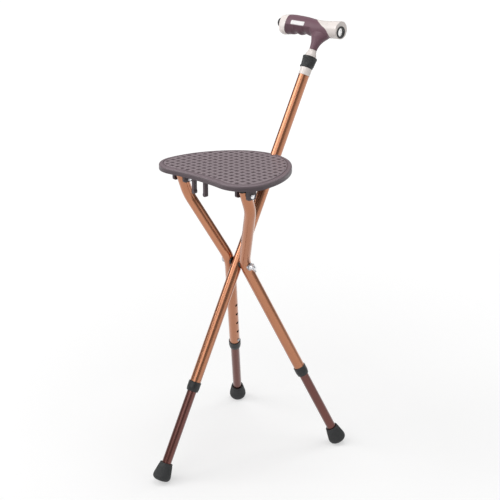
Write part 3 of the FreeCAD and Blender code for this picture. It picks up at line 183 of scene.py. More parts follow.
def surface(name, points, round_rows=False, round_columns=False):
    """Mesh of quads over a grid of points. Rows or columns may close on themselves."""
    rows, columns = points.shape[:2]
    row = np.arange(rows if round_rows else rows - 1)
    column = np.arange(columns if round_columns else columns - 1)
    low, left = np.meshgrid(row, column, indexing="ij")
    high = (low + 1) % rows
    right = (left + 1) % columns
    corners = (low * columns + left, high * columns + left, high * columns + right, low * columns + right)
    quads = np.stack(corners, -1).reshape(-1, 4).astype(np.int32)
    mesh = bpy.data.meshes.new(name)
    mesh.vertices.add(rows * columns)
    mesh.vertices.foreach_set("co", points.reshape(-1).astype(np.float32))
    mesh.loops.add(quads.size)
    mesh.loops.foreach_set("vertex_index", quads.ravel())
    mesh.polygons.add(len(quads))
    mesh.polygons.foreach_set("loop_start", np.arange(0, quads.size, 4, dtype=np.int32))
    mesh.update(calc_edges=True)
    return mesh


def closed(mesh, gap=1e-7):
    """Joins doubled points, drops collapsed faces, closes open rims and turns the faces outwards."""
    work = bmesh.new()
    work.from_mesh(mesh)
    bmesh.ops.remove_doubles(work, verts=work.verts, dist=gap)
    bmesh.ops.dissolve_degenerate(work, edges=work.edges, dist=gap)
    open_edges = [edge for edge in work.edges if edge.is_boundary]
    if open_edges:
        bmesh.ops.holes_fill(work, edges=open_edges, sides=0)
    bmesh.ops.recalc_face_normals(work, faces=work.faces)
    work.to_mesh(mesh)
    work.free()
    return mesh


def merged(name, meshes):
    """One mesh from several."""
    work = bmesh.new()
    for mesh in meshes:
        work.from_mesh(mesh)
    together = bpy.data.meshes.new(name)
    work.to_mesh(together)
    work.free()
    for mesh in meshes:
        bpy.data.meshes.remove(mesh)
    return together


def mark(mesh, name, values):
    """Number at each point of a mesh, for its material to read."""
    layer = mesh.attributes.new(name, "FLOAT", "POINT")
    layer.data.foreach_set("value", values.ravel().astype(np.float32))


def carried(matrix, points):
    """Points of a local frame, given in millimetres, taken to the model in metres."""
    turn = np.array(matrix.to_3x3())
    return (points * MM) @ turn.T + np.array(matrix.translation)


def eased(corners, reach, steps=5):
    """Profile whose inner corners become parabolas.

    Each corner c gives way to (1-t)^2 a + 2t(1-t) c + t^2 b, where a and b lie up to reach before
    and after it and never past the middle of a side.
    """
    corners = np.array(corners, float)
    before = corners[:-2] - corners[1:-1]
    after = corners[2:] - corners[1:-1]
    before_length = np.linalg.norm(before, axis=1, keepdims=True)
    after_length = np.linalg.norm(after, axis=1, keepdims=True)
    cut = np.minimum(reach, 0.48 * np.minimum(before_length, after_length))
    first = corners[1:-1] + before / before_length * cut
    last = corners[1:-1] + after / after_length * cut
    t = np.linspace(0, 1, steps)[None, :, None]
    middle = (1 - t) ** 2 * first[:, None] + 2 * t * (1 - t) * corners[1:-1, None] + t**2 * last[:, None]
    return np.vstack([corners[:1], middle.reshape(-1, 2), corners[-1:]])


def divided(profile, step):
    """The same profile with points added, so that none lies further than step from the next."""
    profile = np.asarray(profile, float)
    run = np.concatenate([[0], np.cumsum(np.linalg.norm(np.diff(profile, axis=0), axis=1))])
    even = np.arange(0, run[-1], step)
    where = np.unique(np.concatenate([run, even]))
    return np.stack([np.interp(where, run, profile[:, 0]), np.interp(where, run, profile[:, 1])], -1)


def turned(name, profile, matrix, segments=96, ripple=None):
    """Surface of revolution about Z: at angle a the radius is r plus ripple(z, a)."""
    radius, height = np.asarray(profile, float).T
    angle = np.linspace(0, 2 * math.pi, segments, endpoint=False)
    spread = np.repeat(radius[:, None], segments, axis=1)
    if ripple is not None:
        spread = spread + np.where(radius[:, None] > 0, ripple(height[:, None], angle[None, :]), 0)
    levels = np.repeat(height[:, None], segments, axis=1)
    local = np.stack([spread * np.cos(angle), spread * np.sin(angle), levels], -1)
    return surface(name, carried(matrix, local), round_columns=True)


def extruded(name, outline, depth, matrix):
    """Flat closed outline in the local XY plane, given depth either side of it along Z."""
    outline = np.asarray(outline, float)
    levels = np.array([-depth, depth])
    local = np.zeros((2, len(outline), 3))
    local[..., :2] = outline
    local[..., 2] = levels[:, None]
    return closed(surface(name, carried(matrix, local), round_columns=True))


def band(height, low, high, run):
    """One between two heights, falling to zero over a run at either end."""
    return np.clip((height - low) / run, 0, 1) * np.clip((high - height) / run, 0, 1)


def smooth_rows(table, where):
    """Rows of a table read at any place of its first column, by cubic pieces with even slopes."""
    table = np.array(table, float)
    key = table[:, 0]
    slope = np.gradient(table, key, axis=0)
    index = np.clip(np.searchsorted(key, where) - 1, 0, len(key) - 2)
    span = (key[index + 1] - key[index])[:, None]
    t = (np.asarray(where) - key[index])[:, None] / span
    start = table[index]
    end = table[index + 1]
    return (
        (2 * t**3 - 3 * t**2 + 1) * start
        + (t**3 - 2 * t**2 + t) * span * slope[index]
        + (-2 * t**3 + 3 * t**2) * end
        + (t**3 - t**2) * span * slope[index + 1]
    )


# Objects

def placed(name, mesh, material, body, nodes=(), crease=40):
    """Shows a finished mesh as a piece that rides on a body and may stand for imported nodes."""
    mesh.materials.clear()
    mesh.materials.append(material)
    mesh.polygons.foreach_set("use_smooth", np.ones(len(mesh.polygons), bool))
    mesh.set_sharp_from_angle(angle=math.radians(crease))
    mesh.update()
    piece = bpy.data.objects.new(name, mesh)
    bpy.context.scene.collection.objects.link(piece)
    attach(piece, body)
    if nodes:
        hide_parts(*nodes)
    return piece


def finish_node(name, material):
    """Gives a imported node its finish."""
    node = frame["nodes"][name]
    if not node.material_slots:
        node.data.materials.append(material)
    for place in node.material_slots:
        place.material = material


def with_modifier(mesh, kind, **settings):
    """Mesh after one modifier, applied."""
    carrier = bpy.data.objects.new("carrier", mesh)
    bpy.context.scene.collection.objects.link(carrier)
    modifier = carrier.modifiers.new("step", kind)
    for key, setting in settings.items():
        setattr(modifier, key, setting)
    bpy.context.view_layer.update()
    result = bpy.data.meshes.new_from_object(carrier.evaluated_get(bpy.context.evaluated_depsgraph_get()))
    bpy.data.objects.remove(carrier)
    return result


def combined(mesh, tool, operation):
    """Mesh joined with, cut by or kept inside a tool mesh."""
    holder = bpy.data.objects.new("tool", tool)
    bpy.context.scene.collection.objects.link(holder)
    result = with_modifier(mesh, "BOOLEAN", object=holder, operation=operation, solver="EXACT")
    bpy.data.objects.remove(holder)
    return result


# Finishes

class Finish:
    """A node material built around one Principled shader that reads object coordinates."""

    def __init__(self, name, colour, roughness, metallic=0.0, **sockets):
        self.material = bpy.data.materials.new(name)
        self.material.use_nodes = True
        self.tree = self.material.node_tree
        self.shader = self.tree.nodes["Principled BSDF"]
        self.shader.inputs["Base Color"].default_value = (*colour, 1)
        self.shader.inputs["Roughness"].default_value = roughness
        self.shader.inputs["Metallic"].default_value = metallic
        for socket, number in sockets.items():
            self.shader.inputs[socket.replace("_", " ")].default_value = number
        self.place = self.node("ShaderNodeTexCoord").outputs["Object"]

    def node(self, kind, **settings):
        made = self.tree.nodes.new(kind)
        for key, setting in settings.items():
            setattr(made, key, setting)
        return made

    def link(self, start, end):
        self.tree.links.new(start, end)

    def noise(self, scale, detail=3.0, stretch=None, turn=None):
        """Noise, which may be stretched along the axes of a turned frame."""
        source = self.place
        if turn is not None:
            rotated = self.node("ShaderNodeVectorRotate", rotation_type="EULER_XYZ")
            rotated.inputs["Rotation"].default_value = turn
            self.link(source, rotated.inputs["Vector"])
            source = rotated.outputs["Vector"]
        if stretch is not None:
            mapping = self.node("ShaderNodeMapping")
            mapping.inputs["Scale"].default_value = stretch
            self.link(source, mapping.inputs["Vector"])
            source = mapping.outputs["Vector"]
        texture = self.node("ShaderNodeTexNoise")
        texture.inputs["Scale"].default_value = scale
        texture.inputs["Detail"].default_value = detail
        self.link(source, texture.inputs["Vector"])
        return texture.outputs["Fac"]

    def ramp(self, source, low, high, start=0.3, end=0.7):
        """Two colours or greys along a value."""
        ramp = self.node("ShaderNodeValToRGB")
        ramp.color_ramp.elements[0].position = start
        ramp.color_ramp.elements[1].position = end
        ramp.color_ramp.elements[0].color = (*low, 1)
        ramp.color_ramp.elements[1].color = (*high, 1)
        self.link(source, ramp.inputs["Fac"])
        return ramp.outputs["Color"]

    def tint(self, source, low, high, start=0.3, end=0.7):
        self.link(self.ramp(source, low, high, start, end), self.shader.inputs["Base Color"])
        return self

    def gloss(self, source, low, high, start=0.3, end=0.7):
        """Roughness that wanders between two values."""
        self.link(self.ramp(source, (low,) * 3, (high,) * 3, start, end), self.shader.inputs["Roughness"])
        return self

    def bump(self, source, strength, distance):
        bump = self.node("ShaderNodeBump")
        bump.inputs["Strength"].default_value = strength
        bump.inputs["Distance"].default_value = distance
        self.link(source, bump.inputs["Height"])
        self.link(bump.outputs["Normal"], self.shader.inputs["Normal"])
        return self


def dimmed(colour, factor):
    return tuple(min(1.0, channel * factor) for channel in colour)


def anodised(name, colour, roughness, turn):
    """Anodised aluminium: drawn lines along the tube and a faint cloud in the dye."""
    finish = Finish(name, colour, roughness, metallic=0.85, Coat_Weight=0.8, Coat_Roughness=0.2)
    finish.tint(finish.noise(9, 2), dimmed(colour, 0.94), dimmed(colour, 1.05))
    drawn = finish.noise(40, 2, stretch=(3, 3, 0.1), turn=turn)
    return finish.gloss(drawn, roughness - 0.02, roughness + 0.03).material


def moulded(name, colour, roughness, grain=1400, depth=0.12, **sockets):
    """Moulded plastic or rubber with a fine grain."""
    finish = Finish(name, colour, roughness, **sockets)
    finish.tint(finish.noise(25, 4), dimmed(colour, 0.93), dimmed(colour, 1.07))
    finish.gloss(finish.noise(90, 3), roughness - 0.05, roughness + 0.06)
    return finish.bump(finish.noise(grain, 2), depth, 0.0002).material


def bare_metal(name, colour, roughness):
    """Plain or plated metal with faint handling marks."""
    finish = Finish(name, colour, roughness, metallic=1.0)
    finish.gloss(finish.noise(220, 4), roughness * 0.8, roughness * 1.25 + 0.02)
    return finish.material


def painted_glow(name, colour, roughness, strength):
    """Bright piece of the torch, with a faint glow of its own that is painted light, not a lamp of the scene."""
    finish = Finish(name, colour, roughness, Emission_Strength=strength)
    finish.shader.inputs["Emission Color"].default_value = (1, 1, 1, 1)
    return finish.material


# Seat

def seat_outline(inset):
    """Polar outline of the seat about its middle, as an angle table and its radii in millimetres.

    Tangent circles make it: a round end behind, two wide sides, two front lobes and a shallow notch. Their
    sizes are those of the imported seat, measured from its hinge.
    """
    side_r, lobe_r, lobe_back = 170.0, 50.0, 44.5
    half = (SEAT_HIGH.x - SEAT_LOW.x) / 2 / MM
    behind = 155.0
    front = 40.0
    side_x = half - side_r
    lobe_x = half - lobe_r
    lobe_y = lobe_back - front
    reach = behind - lobe_y
    round_r = (side_r**2 - side_x**2 - reach**2) / (2 * (side_r - reach))
    round_y = behind - round_r
    notch_r = (lobe_x**2 + lobe_back**2 - lobe_r**2) / (2 * (lobe_r - lobe_back))
    notch_y = -front - notch_r
    lean = math.atan2(round_y - lobe_y, -side_x)
    fall = math.atan2(lobe_y - notch_y, lobe_x)
    arcs = (
        (0, round_y, round_r - inset, lean, math.pi / 2),
        (side_x, lobe_y, side_r - inset, 0, lean),
        (lobe_x, lobe_y, lobe_r - inset, fall - math.pi, 0),
        (0, notch_y, notch_r + inset, math.pi / 2, fall),
    )
    points = []
    for x, y, radius, first, last in arcs:
        angle = np.linspace(first, last, 200)
        points.append(np.stack([x + radius * np.cos(angle), y + radius * np.sin(angle)], -1))
    half_outline = np.vstack(points)
    whole = np.vstack([half_outline, half_outline * (-1, 1)])
    centre = (behind - front) / 2
    angle = np.arctan2(whole[:, 1] - centre, whole[:, 0])
    order = np.argsort(angle)
    return centre, angle[order], np.hypot(whole[:, 0], whole[:, 1] - centre)[order]


def strand_height(x, y, look):
    """Height of a plain weave over its floor, and how high that is from 0 to 1.

    A strand along X in row j stands at weave*cos(pi*x/p + pi*j), and one along Y in column i at the
    opposite. Across its width it adds crown*sqrt(1 - (2d/strand)^2). The higher of the two shows, and
    neither reaches the square gaps at the corners.
    """
    pitch = look.pitch / MM
    half = look.strand / MM / 2
    rise = look.weave / MM
    crown = look.crown / MM

    def strand(along, over, shift):
        number = np.round(over / pitch)
        aside = np.clip(np.abs(over - number * pitch) / half, 0, 1)
        wave = np.cos(math.pi * along / pitch + math.pi * number + shift)
        edge = np.clip((1 - aside) * 4, 0, 1)
        return (rise * (wave + 1) + crown * np.sqrt(1 - aside**2)) * edge

    height = np.maximum(strand(x, y, 0.0), strand(y, x, math.pi))
    return height, np.clip(height / (2 * rise + crown), 0, 1)


class SEATSTICK_OT_woven_field(bpy.types.Operator):
    """Woven field of the seat, one sheet whose top rises and falls with the strands, and the seat's finish"""

    bl_idname = "seatstick.woven_field"
    bl_label = "Woven field"

    def execute(self, context):
        look = context.scene.seatstick_seat
        clear, sunk, run_out = 0.05, 1.6, 2.0
        centre, angles, radii = seat_outline(look.inset / MM)
        around = np.linspace(-math.pi, math.pi, 640, endpoint=False)
        edge = np.interp(around, angles, radii, period=2 * math.pi)
        share = np.linspace(0, 1, 112)[:, None]
        x = share * edge * np.cos(around)
        y = share * edge * np.sin(around)
        height, weave_shade_and_highlight = strand_height(x, y, look)
        fade = np.clip((1 - share) * edge / run_out, 0, 1)
        fade = fade * fade * (3 - 2 * fade)
        top = SEAT_HIGH.z / MM - SEAT_HINGE.z / MM
        z = top + clear + height * fade
        underside = np.full((1, x.shape[1]), top - sunk)
        local = np.stack([
            np.vstack([x, x[-1:], np.zeros_like(x[-1:])]),
            np.vstack([y, y[-1:], np.zeros_like(y[-1:])]) + centre,
            np.vstack([z, underside, underside]),
        ], -1)
        mesh = surface("woven_field", carried(Matrix.Translation(SEAT_HINGE), local), round_columns=True)
        # painted shade and highlight from each point's height: dark in the weave's hollows, pale on the strand
        # tops, pale towards the border and underneath
        shade = np.vstack([weave_shade_and_highlight * fade + (1 - fade), np.ones((2, x.shape[1]))])
        mark(mesh, "weave_shade_and_highlight", shade)
        closed(mesh)
        placed("woven_field", mesh, woven_plastic(look), "seat", crease=80)
        finish_node("seat_shell", rim_plastic(look))
        return {"FINISHED"}


def rim_plastic(look):
    """Seat plastic, with a painted highlight that makes it paler towards the top of the rim, where the top faces
    the light.
    """
    finish = Finish("seat_plain", look.plastic, 0.42)
    split = finish.node("ShaderNodeSeparateXYZ")
    finish.link(finish.place, split.inputs["Vector"])
    level = finish.node("ShaderNodeMapRange")
    level.inputs["From Min"].default_value = SEAT_HIGH.z - 5 * MM
    level.inputs["From Max"].default_value = SEAT_HIGH.z - 0.5 * MM
    finish.link(split.outputs["Z"], level.inputs["Value"])
    # painted highlight: paler from 5 mm below the seat's top up to its top edge
    finish.tint(level.outputs["Result"], look.plastic, look.rim, 0.0, 1.0)
    finish.gloss(finish.noise(90, 3), 0.37, 0.48)
    return finish.bump(finish.noise(900, 2), 0.2, 0.0002).material


def woven_plastic(look):
    """Seat plastic with painted shade between the strands and a painted highlight on their tops, with a fine
    grain.
    """
    finish = Finish("seat_woven", look.plastic, 0.4)
    depth = finish.node("ShaderNodeAttribute", attribute_name="weave_shade_and_highlight")
    # painted shade between the strands, painted highlight on their tops
    finish.tint(depth.outputs["Fac"], look.hollow, look.strand_highlight, 0.1, 0.75)
    finish.gloss(finish.noise(90, 3), 0.36, 0.5)
    return finish.bump(finish.noise(900, 2), 0.2, 0.0002).material


# Tubes

class SEATSTICK_OT_tubes(bpy.types.Operator):
    """Anodised finish of the upper and lower tubes, drawn along each tube"""

    bl_idname = "seatstick.tubes"
    bl_label = "Tubes"

    def execute(self, context):
        look = context.scene.seatstick_tubes
        axes = {"stick": UP_STICK}
        for name, sign in SIDES:
            axes[name] = Vector(JOINTS[f"{name}_foot_slide"]["axis"])
        for name, axis in axes.items():
            turn = axis.rotation_difference(Vector((0, 0, 1))).to_euler()
            upper = "stick_tube" if name == "stick" else f"{name}_leg_tube"
            lower = "stick_lower_tube" if name == "stick" else f"{name}_leg_lower_tube"
            finish_node(upper, anodised(f"bronze_{name}", look.bronze, look.roughness, turn))
            finish_node(lower, anodised(f"brown_{name}", look.brown, look.roughness + 0.06, turn))
        return {"FINISHED"}


class SEATSTICK_OT_hardware(bpy.types.Operator):
    """Finishes of collars, plugs, pivot, screws, springs and the torch's inner pieces"""

    bl_idname = "seatstick.hardware"
    bl_label = "Hardware"

    def execute(self, context):
        rubber = context.scene.seatstick_rubber
        handle = context.scene.seatstick_handle
        black = moulded("black_plastic", rubber.black, 0.38, depth=0.15)
        steel = bare_metal("steel", linear(190, 190, 194), 0.3)
        chrome = bare_metal("chrome", linear(232, 233, 236), 0.09)
        ivory = ivory_plastic(handle)
        shared = {
            "stick_collar": black, "left_leg_collar": black, "right_leg_collar": black,
            "leg_top_plugs": black, "pivot_spacers": black, "pivot_bolt": chrome, "pivot_washers": steel,
            "hinge_screws": chrome, "hinge_nuts": steel, "seat_rest_pin": steel,
            "stick_foot_disc": steel, "left_leg_foot_disc": steel, "right_leg_foot_disc": steel,
            "stick_spring_button": steel, "left_leg_spring_button": steel, "right_leg_spring_button": steel,
            "top_bush": ivory, "neck_ring": ivory, "stem_tube": steel, "stem_pin": steel,
            "switch_block": black, "battery_tube": black, "battery_spring": steel, "button_spring": steel,
            "torch_bezel": black,
            # painted light: the reflector glows though it is no lamp
            "reflector": painted_glow("painted_glow_reflector", linear(250, 250, 250), 0.25, 0.35),
            "torch_button": moulded("button_rubber", linear(30, 30, 31), 0.6),
            "battery_cells": moulded("cell_jacket", linear(96, 104, 100), 0.35),
            "led_board": moulded("board", linear(40, 92, 58), 0.45),
            # painted light: the LED glows to brighten the torch's inside
            "led": painted_glow("lamp", linear(246, 244, 232), 0.2, 0.8),
        }
        for name, material in shared.items():
            finish_node(name, material)
        lens = Finish("clear_lens", (1, 1, 1), 0.03, Alpha=0.16)
        finish_node("lens", lens.material)
        return {"FINISHED"}


def ivory_plastic(look):
    """Hard plastic with a thin gloss, for the handle's ends and the rings under it."""
    gloss = {"Coat_Weight": 0.3, "Coat_Roughness": 0.15}
    return moulded("ivory_plastic", look.ivory, 0.3, grain=500, depth=0.04, **gloss)


# Feet

class SEATSTICK_OT_feet(bpy.types.Operator):
    """Ribbed rubber feet: a turned profile whose side carries fine upright ribs"""

    bl_idname = "seatstick.feet"
    bl_label = "Feet"

    def execute(self, context):
        look = context.scene.seatstick_rubber
        material = foot_rubber(look)
        feet = (("stick_foot", "stick_foot_slider", "stick_foot_base"),
                ("left_leg_foot", "left_foot_slider", "left_foot_base"),
                ("right_leg_foot", "right_foot_slider", "right_foot_base"))

        def ribs(height, angle):
            depth = 0.5
            return -depth * band(height, 8.5, 26.5, 2.0) * (0.5 + 0.5 * np.cos(look.ribs * angle)) ** 0.6

        for node, body, mount in feet:
            base = upright_frame(MOUNTS[mount]["pos_m"], -Vector(MOUNTS[mount]["axis"]))
            bend = np.linspace(0, math.pi / 2, 9)
            middle, height, radius = 9.25, 7.02, 7.0
            base_round = np.stack([middle + radius * np.sin(bend), height - radius * np.cos(bend)], -1)
            sole = np.array(((0, 0.02), (4.0, 0.02), (4.6, 0.8), (6.4, 0.8), (7.0, 0.02)))
            side = eased((
                (16.25, 7.1), (16.05, 10.8), (12.6, 28.0), (11.8, 29.2), (12.0, 30.2), (11.75, 32.45),
                (8.65, 32.45), (8.65, 9.0), (0, 9.0),
            ), 1.2)
            profile = divided(np.vstack([sole, base_round, side]), 0.9)
            mesh = closed(turned(node, profile, base, segments=look.ribs * 6, ripple=ribs))
            placed(f"{node}_ribbed", mesh, material, body, [node], crease=50)
        return {"FINISHED"}


def foot_rubber(look):
    """Matt rubber with dust near the ground."""
    dusty = 6 * MM
    finish = Finish("foot_rubber", look.foot, 0.62)
    split = finish.node("ShaderNodeSeparateXYZ")
    finish.link(finish.place, split.inputs["Vector"])
    spread = finish.node("ShaderNodeMath", operation="MULTIPLY_ADD")
    finish.link(finish.noise(120, 4), spread.inputs[0])
    spread.inputs[1].default_value = -dusty
    finish.link(split.outputs["Z"], spread.inputs[2])
    finish.tint(spread.outputs[0], dimmed(look.foot, 1.7), look.foot, 0.0, dusty)
    return finish.bump(finish.noise(1200, 2), 0.2, 0.0002).material


# Lock collar and wing nut

# foot of the lock collar, from the pivot along the stick
COLLAR_FOOT = 373.3


class SEATSTICK_OT_lock_collar(bpy.types.Operator):
    """Ribbed lock collar under the handle: a flared cup with upright ribs and a small lug"""

    bl_idname = "seatstick.lock_collar"
    bl_label = "Lock collar"

    def execute(self, context):
        look = context.scene.seatstick_rubber
        corners = (
            (9.3, 0.0), (10.6, 0.0), (11.3, 0.9), (11.4, 3.2), (12.0, 4.2), (13.1, 17.0), (13.6, 18.2),
            (13.5, 20.6), (12.5, 21.4), (4.8, 21.4), (4.8, 19.0), (9.3, 19.0), (9.3, 0.0),
        )

        def ribs(height, angle):
            depth = 0.55
            return -depth * band(height, 4.0, 17.4, 1.2) * (0.5 - 0.5 * np.cos(look.collar_ribs * angle)) ** 2

        matrix = STICK @ moved(z=COLLAR_FOOT)
        profile = divided(eased(corners, 0.8), 0.7)
        cup = closed(turned("cup", profile, matrix, segments=look.collar_ribs * 8, ripple=ribs))
        lug_outline = ((-1.2, -2.2), (1.2, -2.2), (1.9, 0), (1.0, 2.2), (-1.2, 2.2))
        lug_place = matrix @ swung(205, "Z") @ moved(x=11.2, z=2.2) @ swung(90, "X")
        lug = extruded("lug", lug_outline, 1.9, lug_place)
        lug = with_modifier(lug, "BEVEL", width=0.5 * MM, segments=2)
        mesh = merged("lock_collar_ribbed", [cup, lug])
        material = moulded("collar_plastic", look.black, 0.4, depth=0.15)
        placed("lock_collar_ribbed", mesh, material, "lock_collar", ["lock_collar"])
        return {"FINISHED"}


class SEATSTICK_OT_wing_nut(bpy.types.Operator):
    """Wing nut on the pivot: a turned hub with a collar and two curved wings"""

    bl_idname = "seatstick.wing_nut"
    bl_label = "Wing nut"

    def execute(self, context):
        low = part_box("wing_nut")[0]
        matrix = LEGS @ moved(x=low.x / MM) @ swung(90, "Y")
        corners = ((3.08, 0), (5.7, 0), (5.7, 1.6), (5.0, 2.4), (4.4, 7.8), (3.08, 8.0), (3.08, 0))
        hub = closed(turned("hub", eased(corners, 0.5), matrix, segments=48))
        wing = (
            (3.6, 0.9), (6.1, 2.2), (7.6, 5.0), (9.2, 7.6), (9.3, 9.6),
            (8.1, 10.4), (6.6, 9.8), (5.6, 8.0), (3.6, 6.4),
        )
        parts = [hub]
        for side in (0, 180):
            plate = extruded("wing", ring_curve(wing, 6), 1.15, matrix @ swung(side, "Z") @ swung(90, "X"))
            parts.append(with_modifier(plate, "BEVEL", width=0.7 * MM, segments=3, limit_method="ANGLE"))
        mesh = merged("wing_nut_cast", parts)
        plated = bare_metal("plated_nut", linear(225, 225, 228), 0.24)
        placed("wing_nut_cast", mesh, plated, "wing_nut", ["wing_nut"])
        return {"FINISHED"}


def ring_curve(points, steps):
    """Closed smooth curve through points: cubic pieces whose slope is half the step between neighbours."""
    points = np.asarray(points, float)
    following = np.roll(points, -1, 0)
    slope = (following - np.roll(points, 1, 0)) / 2
    next_slope = np.roll(slope, -1, 0)
    t = np.linspace(0, 1, steps, endpoint=False)[None, :, None]
    curve = (
        (2 * t**3 - 3 * t**2 + 1) * points[:, None]
        + (t**3 - 2 * t**2 + t) * slope[:, None]
        + (3 * t**2 - 2 * t**3) * following[:, None]
        + (t**3 - t**2) * next_slope[:, None]
    )
    return curve.reshape(-1, 2)


# Handle

# middle of the crosspiece and foot of the stem, from the pivot along the stick
HANDLE_AXIS = 451.0
STEM_FOOT = 408.0
# x, top, bottom, half depth, squareness and lean of the crosspiece, from its axis
CROSSPIECE = (
    (-91.5, 11.4, -16.4, 11.2, 2.3, 0.14),
    (-90.4, 13.1, -19.2, 12.6, 2.4, 0.14),
    (-87.5, 14.3, -20.8, 13.3, 2.5, 0.13),
    (-81.9, 15.6, -21.0, 13.9, 2.5, 0.08),
    (-74.1, 16.8, -19.8, 14.4, 2.4, 0.0),
    (-67.6, 17.3, -18.9, 14.5, 2.4, 0.0),
    (-61.2, 17.5, -18.4, 14.5, 2.4, 0.0),
    (-52.9, 17.3, -15.6, 14.4, 2.4, 0.0),
    (-42.8, 17.0, -17.7, 14.2, 2.4, 0.0),
    (-31.7, 16.3, -14.5, 14.1, 2.4, 0.0),
    (-21.6, 15.2, -16.6, 14.1, 2.4, 0.0),
    (-9.6, 14.0, -17.0, 14.2, 2.3, 0.0),
    (4.2, 13.7, -16.6, 14.6, 2.2, 0.0),
    (18.0, 14.4, -15.9, 15.2, 2.1, 0.0),
    (33.9, 15.9, -15.4, 16.0, 2.0, 0.0),
    (48.0, 17.3, -15.0, 16.5, 2.0, 0.0),
)
# middle of each finger hollow along the grip, and half its width
FINGERS = ((-64.0, 9.5), (-43.5, 9.5), (-22.0, 10.5))
# height above the stem's foot, centre and half width along x, half depth
STEM = (
    (0.0, 0.3, 7.1, 6.8),
    (7.0, 0.6, 7.9, 7.4),
    (14.0, 1.5, 10.0, 8.4),
    (20.0, 2.8, 13.4, 9.8),
    (25.0, 4.6, 17.6, 11.2),
    (31.0, 6.6, 21.5, 12.2),
)
# seam between grip and torch housing, x and z, and the straight seam of the end cap
TORCH_SEAM = (
    (-24.0, 21.9), (-8.2, 12.3), (0.0, 7.5), (12.0, 0.5),
    (22.1, -4.4), (27.8, -9.6), (30.2, -15.6), (30.7, -25.4),
)
CAP_SEAM = -74.1
HANDLE = STICK @ moved(z=HANDLE_AXIS)
SIDE_ON = HANDLE @ swung(90, "X")


def crosspiece_mesh():
    """Crosspiece with its finger hollows.

    At each x a superellipse, y = d*c^(2/n) and z = mid + h*s^(2/n) for cosine c and sine s, whose top
    leans to the left. Below a ledge its front steps inwards over each finger.
    """
    x = np.linspace(CROSSPIECE[0][0], CROSSPIECE[-1][0], 240)
    rows = smooth_rows(CROSSPIECE, x)
    angle = np.linspace(0, 2 * math.pi, 128, endpoint=False)
    top, bottom, half, square, lean = (rows[:, k, None] for k in (1, 2, 3, 4, 5))
    cosine = np.sign(np.cos(angle)) * np.abs(np.cos(angle)) ** (2 / square)
    sine = np.sign(np.sin(angle)) * np.abs(np.sin(angle)) ** (2 / square)
    z = (top + bottom) / 2 + (top - bottom) / 2 * sine
    hollow = np.zeros_like(x)
    for middle, width in FINGERS:
        share = np.clip(1 - ((x - middle) / width) ** 2, 0, 1)
        hollow = np.maximum(hollow, share ** 0.6)
    ledge, run, depth = -5.6, 1.6, 1.7
    below = np.clip((ledge - z) / run, 0, 1)
    below = below * below * (3 - 2 * below)
    y = half * cosine + depth * hollow[:, None] * below * np.clip(-1.6 * cosine, 0, 1)
    local = np.stack([x[:, None] - lean * z, y, z], -1)
    return closed(surface("crosspiece", carried(HANDLE, local), round_columns=True))


def stem_mesh():
    """Stem: at each height an ellipse that widens and drifts towards the torch."""
    height = np.linspace(0, STEM[-1][0], 40)
    rows = smooth_rows(STEM, height)
    angle = np.linspace(0, 2 * math.pi, 80, endpoint=False)
    local = np.stack([
        rows[:, 1, None] + rows[:, 2, None] * np.cos(angle),
        rows[:, 3, None] * np.sin(angle),
        np.repeat(height[:, None] + STEM_FOOT - HANDLE_AXIS, len(angle), 1),
    ], -1)
    return closed(surface("stem", carried(HANDLE, local), round_columns=True))


def torch_side(shift):
    """Block that takes in everything beyond the curved seam between grip and torch housing."""
    end, depth = 80, 40
    share = np.linspace(0, len(TORCH_SEAM) - 1, 60)
    table = [(place, *point) for place, point in enumerate(TORCH_SEAM)]
    curve = smooth_rows(table, share)[:, 1:]
    outline = np.vstack([curve + (shift, 0), [(end, TORCH_SEAM[-1][1]), (end, TORCH_SEAM[0][1])]])
    return extruded("torch_side", outline, depth, SIDE_ON)


def cap_side(shift):
    """Block that takes in everything beyond the straight seam between end cap and grip."""
    seam, end, half, depth = CAP_SEAM + shift, -130, 30, 40
    return extruded("cap_side", ((seam, half), (seam, -half), (end, -half), (end, half)), depth, SIDE_ON)


def bore(radius, start, end, drop=0.0):
    """Round rod along the handle's axis, or a drop below it, to cut with."""
    matrix = HANDLE @ moved(x=start, z=-drop) @ swung(90, "Y")
    profile = ((0, 0), (radius, 0), (radius, end - start), (0, end - start))
    return closed(turned("bore", profile, matrix, segments=72))


class SEATSTICK_OT_handle(bpy.types.Operator):
    """Handle skin: crosspiece and stem blended into one form, then parted along the real seams"""

    bl_idname = "seatstick.handle"
    bl_label = "Handle"

    def execute(self, context):
        look = context.scene.seatstick_handle
        whole = combined(crosspiece_mesh(), stem_mesh(), "UNION")
        whole = with_modifier(whole, "REMESH", mode="VOXEL", voxel_size=look.voxel)
        whole = with_modifier(whole, "SMOOTH", factor=0.5, iterations=8)
        gap = 0.06
        button_hole = bore(8.8, -110, -83)
        lamp_hole = bore(10.02, 22, 60, drop=2.8)
        cap = combined(combined(whole.copy(), cap_side(-gap), "INTERSECT"), button_hole, "DIFFERENCE")
        housing = combined(combined(whole.copy(), torch_side(gap), "INTERSECT"), lamp_hole, "DIFFERENCE")
        grip = combined(combined(whole, torch_side(-gap), "DIFFERENCE"), cap_side(gap), "DIFFERENCE")
        shade_fingers(grip)
        ivory = ivory_plastic(look)
        soft = grip_rubber(look)
        placed("grip_skin", grip, soft, "stick", ["grip"], crease=35)
        placed("end_cap_skin", cap, ivory, "stick", ["end_cap"], crease=35)
        placed("torch_housing_skin", housing, ivory, "stick", ["torch_housing"], crease=35)
        return {"FINISHED"}


